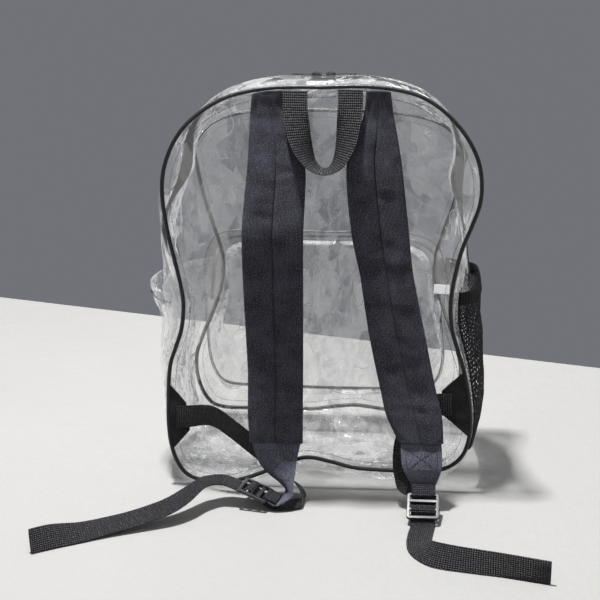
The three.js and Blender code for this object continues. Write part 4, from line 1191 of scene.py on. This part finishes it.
def even_rows(rows, step):
    """Rows of points resampled smoothly at an even distance, and that distance from the start."""
    middles = rows.mean(axis=1)
    run = np.concatenate([[0], np.linalg.norm(np.diff(middles, axis=0), axis=1).cumsum()])
    slope = np.gradient(rows, run, axis=0)
    wanted = np.linspace(0, run[-1], round(run[-1] / step) + 1)
    start = np.clip(np.searchsorted(run, wanted, side="right") - 1, 0, len(run) - 2)
    span = (run[start + 1] - run[start])[:, None, None]
    t = (wanted - run[start])[:, None, None] / span
    low, high = rows[start], rows[start + 1]
    smooth = low * (1 + 2 * t) * (1 - t) ** 2 + high * t ** 2 * (3 - 2 * t)
    smooth += span * (slope[start] * t * (1 - t) ** 2 - slope[start + 1] * t ** 2 * (1 - t))
    return smooth, wanted, run


def webbing_body(name, edges, thick, run, wanted, columns=13):
    """Woven band between two edges, thinner at its selvedges."""
    shares = np.linspace(-0.5, 0.5, columns)
    grid = edges[:, :1] * (0.5 - shares)[None, :, None] + edges[:, 1:] * (0.5 + shares)[None, :, None]
    half = np.interp(wanted, run, thick)[:, None] / 2
    half = half * (1 - 0.5 * np.abs(2 * shares) ** 6)[None, :]
    normal = grid_normals(grid)
    cut = flat_cut(grid)
    outer = grid + normal * half[..., None]
    inner = grid - normal * half[..., None]
    outer[..., 2] = np.maximum(outer[..., 2], 0.0)
    inner[..., 2] = np.maximum(inner[..., 2], 0.0)
    return skin(name, outer, inner, cut=cut), grid, normal


webbing_weave = cloth_material(
    "webbing_weave", (0.001, 0.001, 0.0015), (0.007, 0.007, 0.009), (0.13, 0.13, 0.165), (0.0050, 0.0042), 0.0011,
    0.3, 0.55,
)
bands = {
    "grab_handle": lambda point: -point.z if point.x < 0 else 1,
    "lower_webbing_left": lambda point: point.x,
    "lower_webbing_right": lambda point: -point.x,
}
for node, first in bands.items():
    edges, thick = band_edges(node, first)
    smooth, wanted, run = even_rows(edges, 0.002)
    webbing, grid, normal = webbing_body(f"{node}_webbing", smooth, thick, run, wanted)
    settle(webbing, webbing_weave, "webbing", node)

buckle_frames = {
    "left": ((-0.303, -1.667, 0.025), (-0.91, 0.21, 0.33), (-0.2, -0.95, 0.05)),
    "right": ((0.673, -1.747, 0.0523), (0, -0.889, -0.457), (1, 0, 0)),
}
for side, (place, along, across) in buckle_frames.items():
    origin = Vector((place[0] * 0.165, place[1] * 0.075, place[2] * 0.44))
    along = Vector(along).normalized()
    out = along.cross(Vector(across)).normalized()
    across = out.cross(along)
    rows = []
    high, turn = 0.00275, 0.0047
    for distance, height in (
        (-0.010, high), (-0.005, high), (0, high), (0.0025, high), (turn - 0.0006, high * 0.86), (turn, high * 0.4),
        (turn, -high * 0.4), (turn - 0.0006, -high * 0.86), (0.0025, -high), (0, -high), (-0.005, -high), (-0.010, -high),
    ):
        centre = origin + along * distance + out * height
        rows.append([centre - across * 0.0125, centre + across * 0.0125])
    smooth, wanted, run = even_rows(np.array(rows), 0.0008)
    loop, grid, normal = webbing_body(f"buckle_loop_{side}_webbing", smooth, np.full(12, 0.0014), run, wanted)
    settle(loop, webbing_weave, "webbing", f"buckle_loop_{side}")


# Strap tabs: the strap's own cloth, doubled and narrowed, which carries the buckle. It is sewn with a
# box of stitches and a cross in it.
# The tab's cloth is painted paler and bluer than the strap's own cloth, as painted light falling on the tab.
painted_lit_tab_weave = cloth_material(
    "painted_lit_tab_weave", (0.035, 0.036, 0.050), (0.150, 0.155, 0.215), (0.55, 0.56, 0.66), (0.0022, 0.0022), 0.0005,
)
for side, first in (("left", lambda point: -point.z), ("right", lambda point: -point.z)):
    edges, thick = band_edges(f"strap_tab_{side}", first)
    smooth, wanted, run = even_rows(edges, 0.002)
    tab, grid, normal = webbing_body(f"strap_tab_{side}_cloth", smooth, thick, run, wanted, 21)
    settle(tab, painted_lit_tab_weave, "strap_cloth", f"strap_tab_{side}")
    if normal[..., 1].mean() > 0:
        normal = -normal
    face = grid + normal * (thick.mean() / 2 + 0.0002)
    rows = grid.shape[0]
    box = [(0.10, 0.12), (0.10, 0.88), (0.48, 0.88), (0.48, 0.12), (0.10, 0.12)]
    cross = [[(0.10, 0.12), (0.48, 0.88)], [(0.10, 0.88), (0.48, 0.12)]]
    lines = []
    for route in [box] + cross:
        for (a, b), (c, d) in zip(route, route[1:]):
            share = np.linspace(0, 1, 16)
            along_share, across_share = a + (c - a) * share, b + (d - b) * share
            lines.append((
                on_grid(face, along_share, across_share), on_grid(normal, along_share, across_share),
            ))
    settle(stitch_rows(f"strap_tab_{side}_stitches", lines, 0.0032, 0.0025, 0.0003), black_thread, "strap_cloth")


# Strap anchors: black cloth triangles sewn into the lower side seams, which hold the lower webbing.
anchor_weave = cloth_material(
    "anchor_weave", (0.004, 0.004, 0.005), (0.036, 0.034, 0.038), (0.12, 0.12, 0.13), (0.0022, 0.0022), 0.0004,
)
seam_reach = {"left": 0.001, "right": 0.0035}
for side in ("left", "right"):
    node = f"strap_anchor_{side}"
    shape = node_shape(node)
    corners = sorted({(round(v.co.x, 5), round(v.co.z, 5)) for v in shape.verts}, key=lambda c: abs(c[0]))
    shape.free()
    inner = sorted(corners[:2], key=lambda c: c[1])
    seam = np.array(sorted(corners[2:], key=lambda c: c[1]))
    low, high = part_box(node)
    height = np.linspace(seam[0, 1], seam[-1, 1], 40)
    outer_x = np.interp(height, seam[:, 1], seam[:, 0])
    outer_x = outer_x * (1 + seam_reach[side] / np.abs(outer_x))
    share = np.linspace(0, 1, 40)
    inner_x = inner[0][0] + (inner[1][0] - inner[0][0]) * share
    inner_z = inner[0][1] + (inner[1][1] - inner[0][1]) * share
    across = np.linspace(0, 1, 30)[None, :]
    grid = np.empty((40, 30, 3))
    grid[..., 0] = outer_x[:, None] * (1 - across) + inner_x[:, None] * across
    grid[..., 2] = height[:, None] * (1 - across) + inner_z[:, None] * across
    grid[..., 1] = (low[1] + high[1]) / 2
    grid[..., 1] += crumple(grid, 0.018, 0.0022, 31, (0.5, 1, 1.2))
    anchor = sheet_on(f"{node}_cloth", grid, 0.0015, cut=flat_cut(grid))
    settle(anchor, anchor_weave, "strap_cloth", node)


# Buckles: moulded black ladder locks, with softened edges.
def plastic_material():
    material, tree, shader = new_material("moulded_plastic")
    place = add_node(tree, "ShaderNodeTexCoord").outputs["Object"]
    grain = speckle(tree, place, 900.0, 3.0)
    wear = speckle(tree, place, 120.0, 5.0, 0.7)
    tree.links.new(blend_colours(tree, wear, (0.008, 0.008, 0.009), (0.030, 0.030, 0.033)), shader.inputs["Base Color"])
    tree.links.new(raise_normal(tree, grain, 0.0001), shader.inputs["Normal"])
    tree.links.new(calculate(tree, "MULTIPLY_ADD", wear, 0.3, 0.25), shader.inputs["Roughness"])
    return material


moulded_plastic = plastic_material()
for node in ("buckle_left", "buckle_right"):
    shape = node_shape(node)
    bmesh.ops.dissolve_limit(shape, angle_limit=0.02, verts=shape.verts, edges=shape.edges)
    edges = [edge for edge in shape.edges if len(edge.link_faces) == 2 and edge.calc_face_angle() > 0.6]
    bmesh.ops.bevel(shape, geom=edges, offset=0.0007, segments=3, profile=0.6, affect="EDGES")
    mesh = bpy.data.meshes.new(f"{node}_lock")
    shape.to_mesh(mesh)
    shape.free()
    settle(finish_mesh(f"{node}_lock", mesh, 40), moulded_plastic, "buckle_plastic", node)


# Side tag: a small blank label of white satin ribbon, caught in the right side seam.
def tag_material():
    material, tree, shader = new_material("white_ribbon_painted_glow")
    place = add_node(tree, "ShaderNodeUVMap", uv_map="cut").outputs["UV"]
    ribs = add_node(tree, "ShaderNodeTexWave", wave_type="BANDS", bands_direction="X")
    ribs.inputs["Scale"].default_value = 500.0
    tree.links.new(place, ribs.inputs["Vector"])
    tone = speckle(tree, place, 400.0, 3.0)
    tree.links.new(blend_colours(tree, tone, (0.86, 0.86, 0.87), (0.95, 0.95, 0.95)), shader.inputs["Base Color"])
    tree.links.new(raise_normal(tree, ribs.outputs["Fac"], 0.0002), shader.inputs["Normal"])
    shader.inputs["Roughness"].default_value = 0.5
    # Painted glow: the ribbon gives off a faint white light of its own, though it is no lamp.
    shader.inputs["Emission Color"].default_value = (0.94, 0.96, 1.0, 1)
    shader.inputs["Emission Strength"].default_value = 0.35
    return material


low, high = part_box("side_tag")
share = np.linspace(0, 1, 20)
grid = np.empty((14, 20, 3))
grid[..., 0] = (low[0] + (high[0] - low[0]) * share)[None, :]
grid[..., 2] = (high[2] - (high[2] - low[2]) * np.linspace(0, 1, 14))[:, None]
grid[..., 1] = (low[1] + high[1]) / 2 + (0.0004 * np.sin(share * 5))[None, :]
settle(sheet_on("side_tag_ribbon", grid, 0.0006, cut=flat_cut(grid)), tag_material(), "tag", "side_tag")

# Left wall: the empty bag's wall and the zipper in it bulge out a little above the clear side pocket.
bulge = 0.015
bulge_level, bulge_reach = 0.288, 0.075
wall_edge, wall_depth = -0.085, 0.095
bulging = [
    piece for piece in bpy.context.scene.objects
    if piece.name not in frame["nodes"] and piece.name.startswith(("lower_gusset", "upper_gusset", "main_zipper"))
]
for piece in bulging:
    spots = np.empty(len(piece.data.vertices) * 3)
    piece.data.vertices.foreach_get("co", spots)
    spots = spots.reshape(-1, 3)
    level = np.clip(1 - np.abs(spots[:, 2] - bulge_level) / bulge_reach, 0, 1)
    depth = np.clip(1 - (spots[:, 1] / wall_depth) ** 2, 0, 1)
    side = np.clip((wall_edge - spots[:, 0]) / 0.03, 0, 1)
    spots[:, 0] -= bulge * level ** 2 * (3 - 2 * level) * depth * side * side * (3 - 2 * side)
    piece.data.vertices.foreach_set("co", spots.ravel())
    piece.data.update()
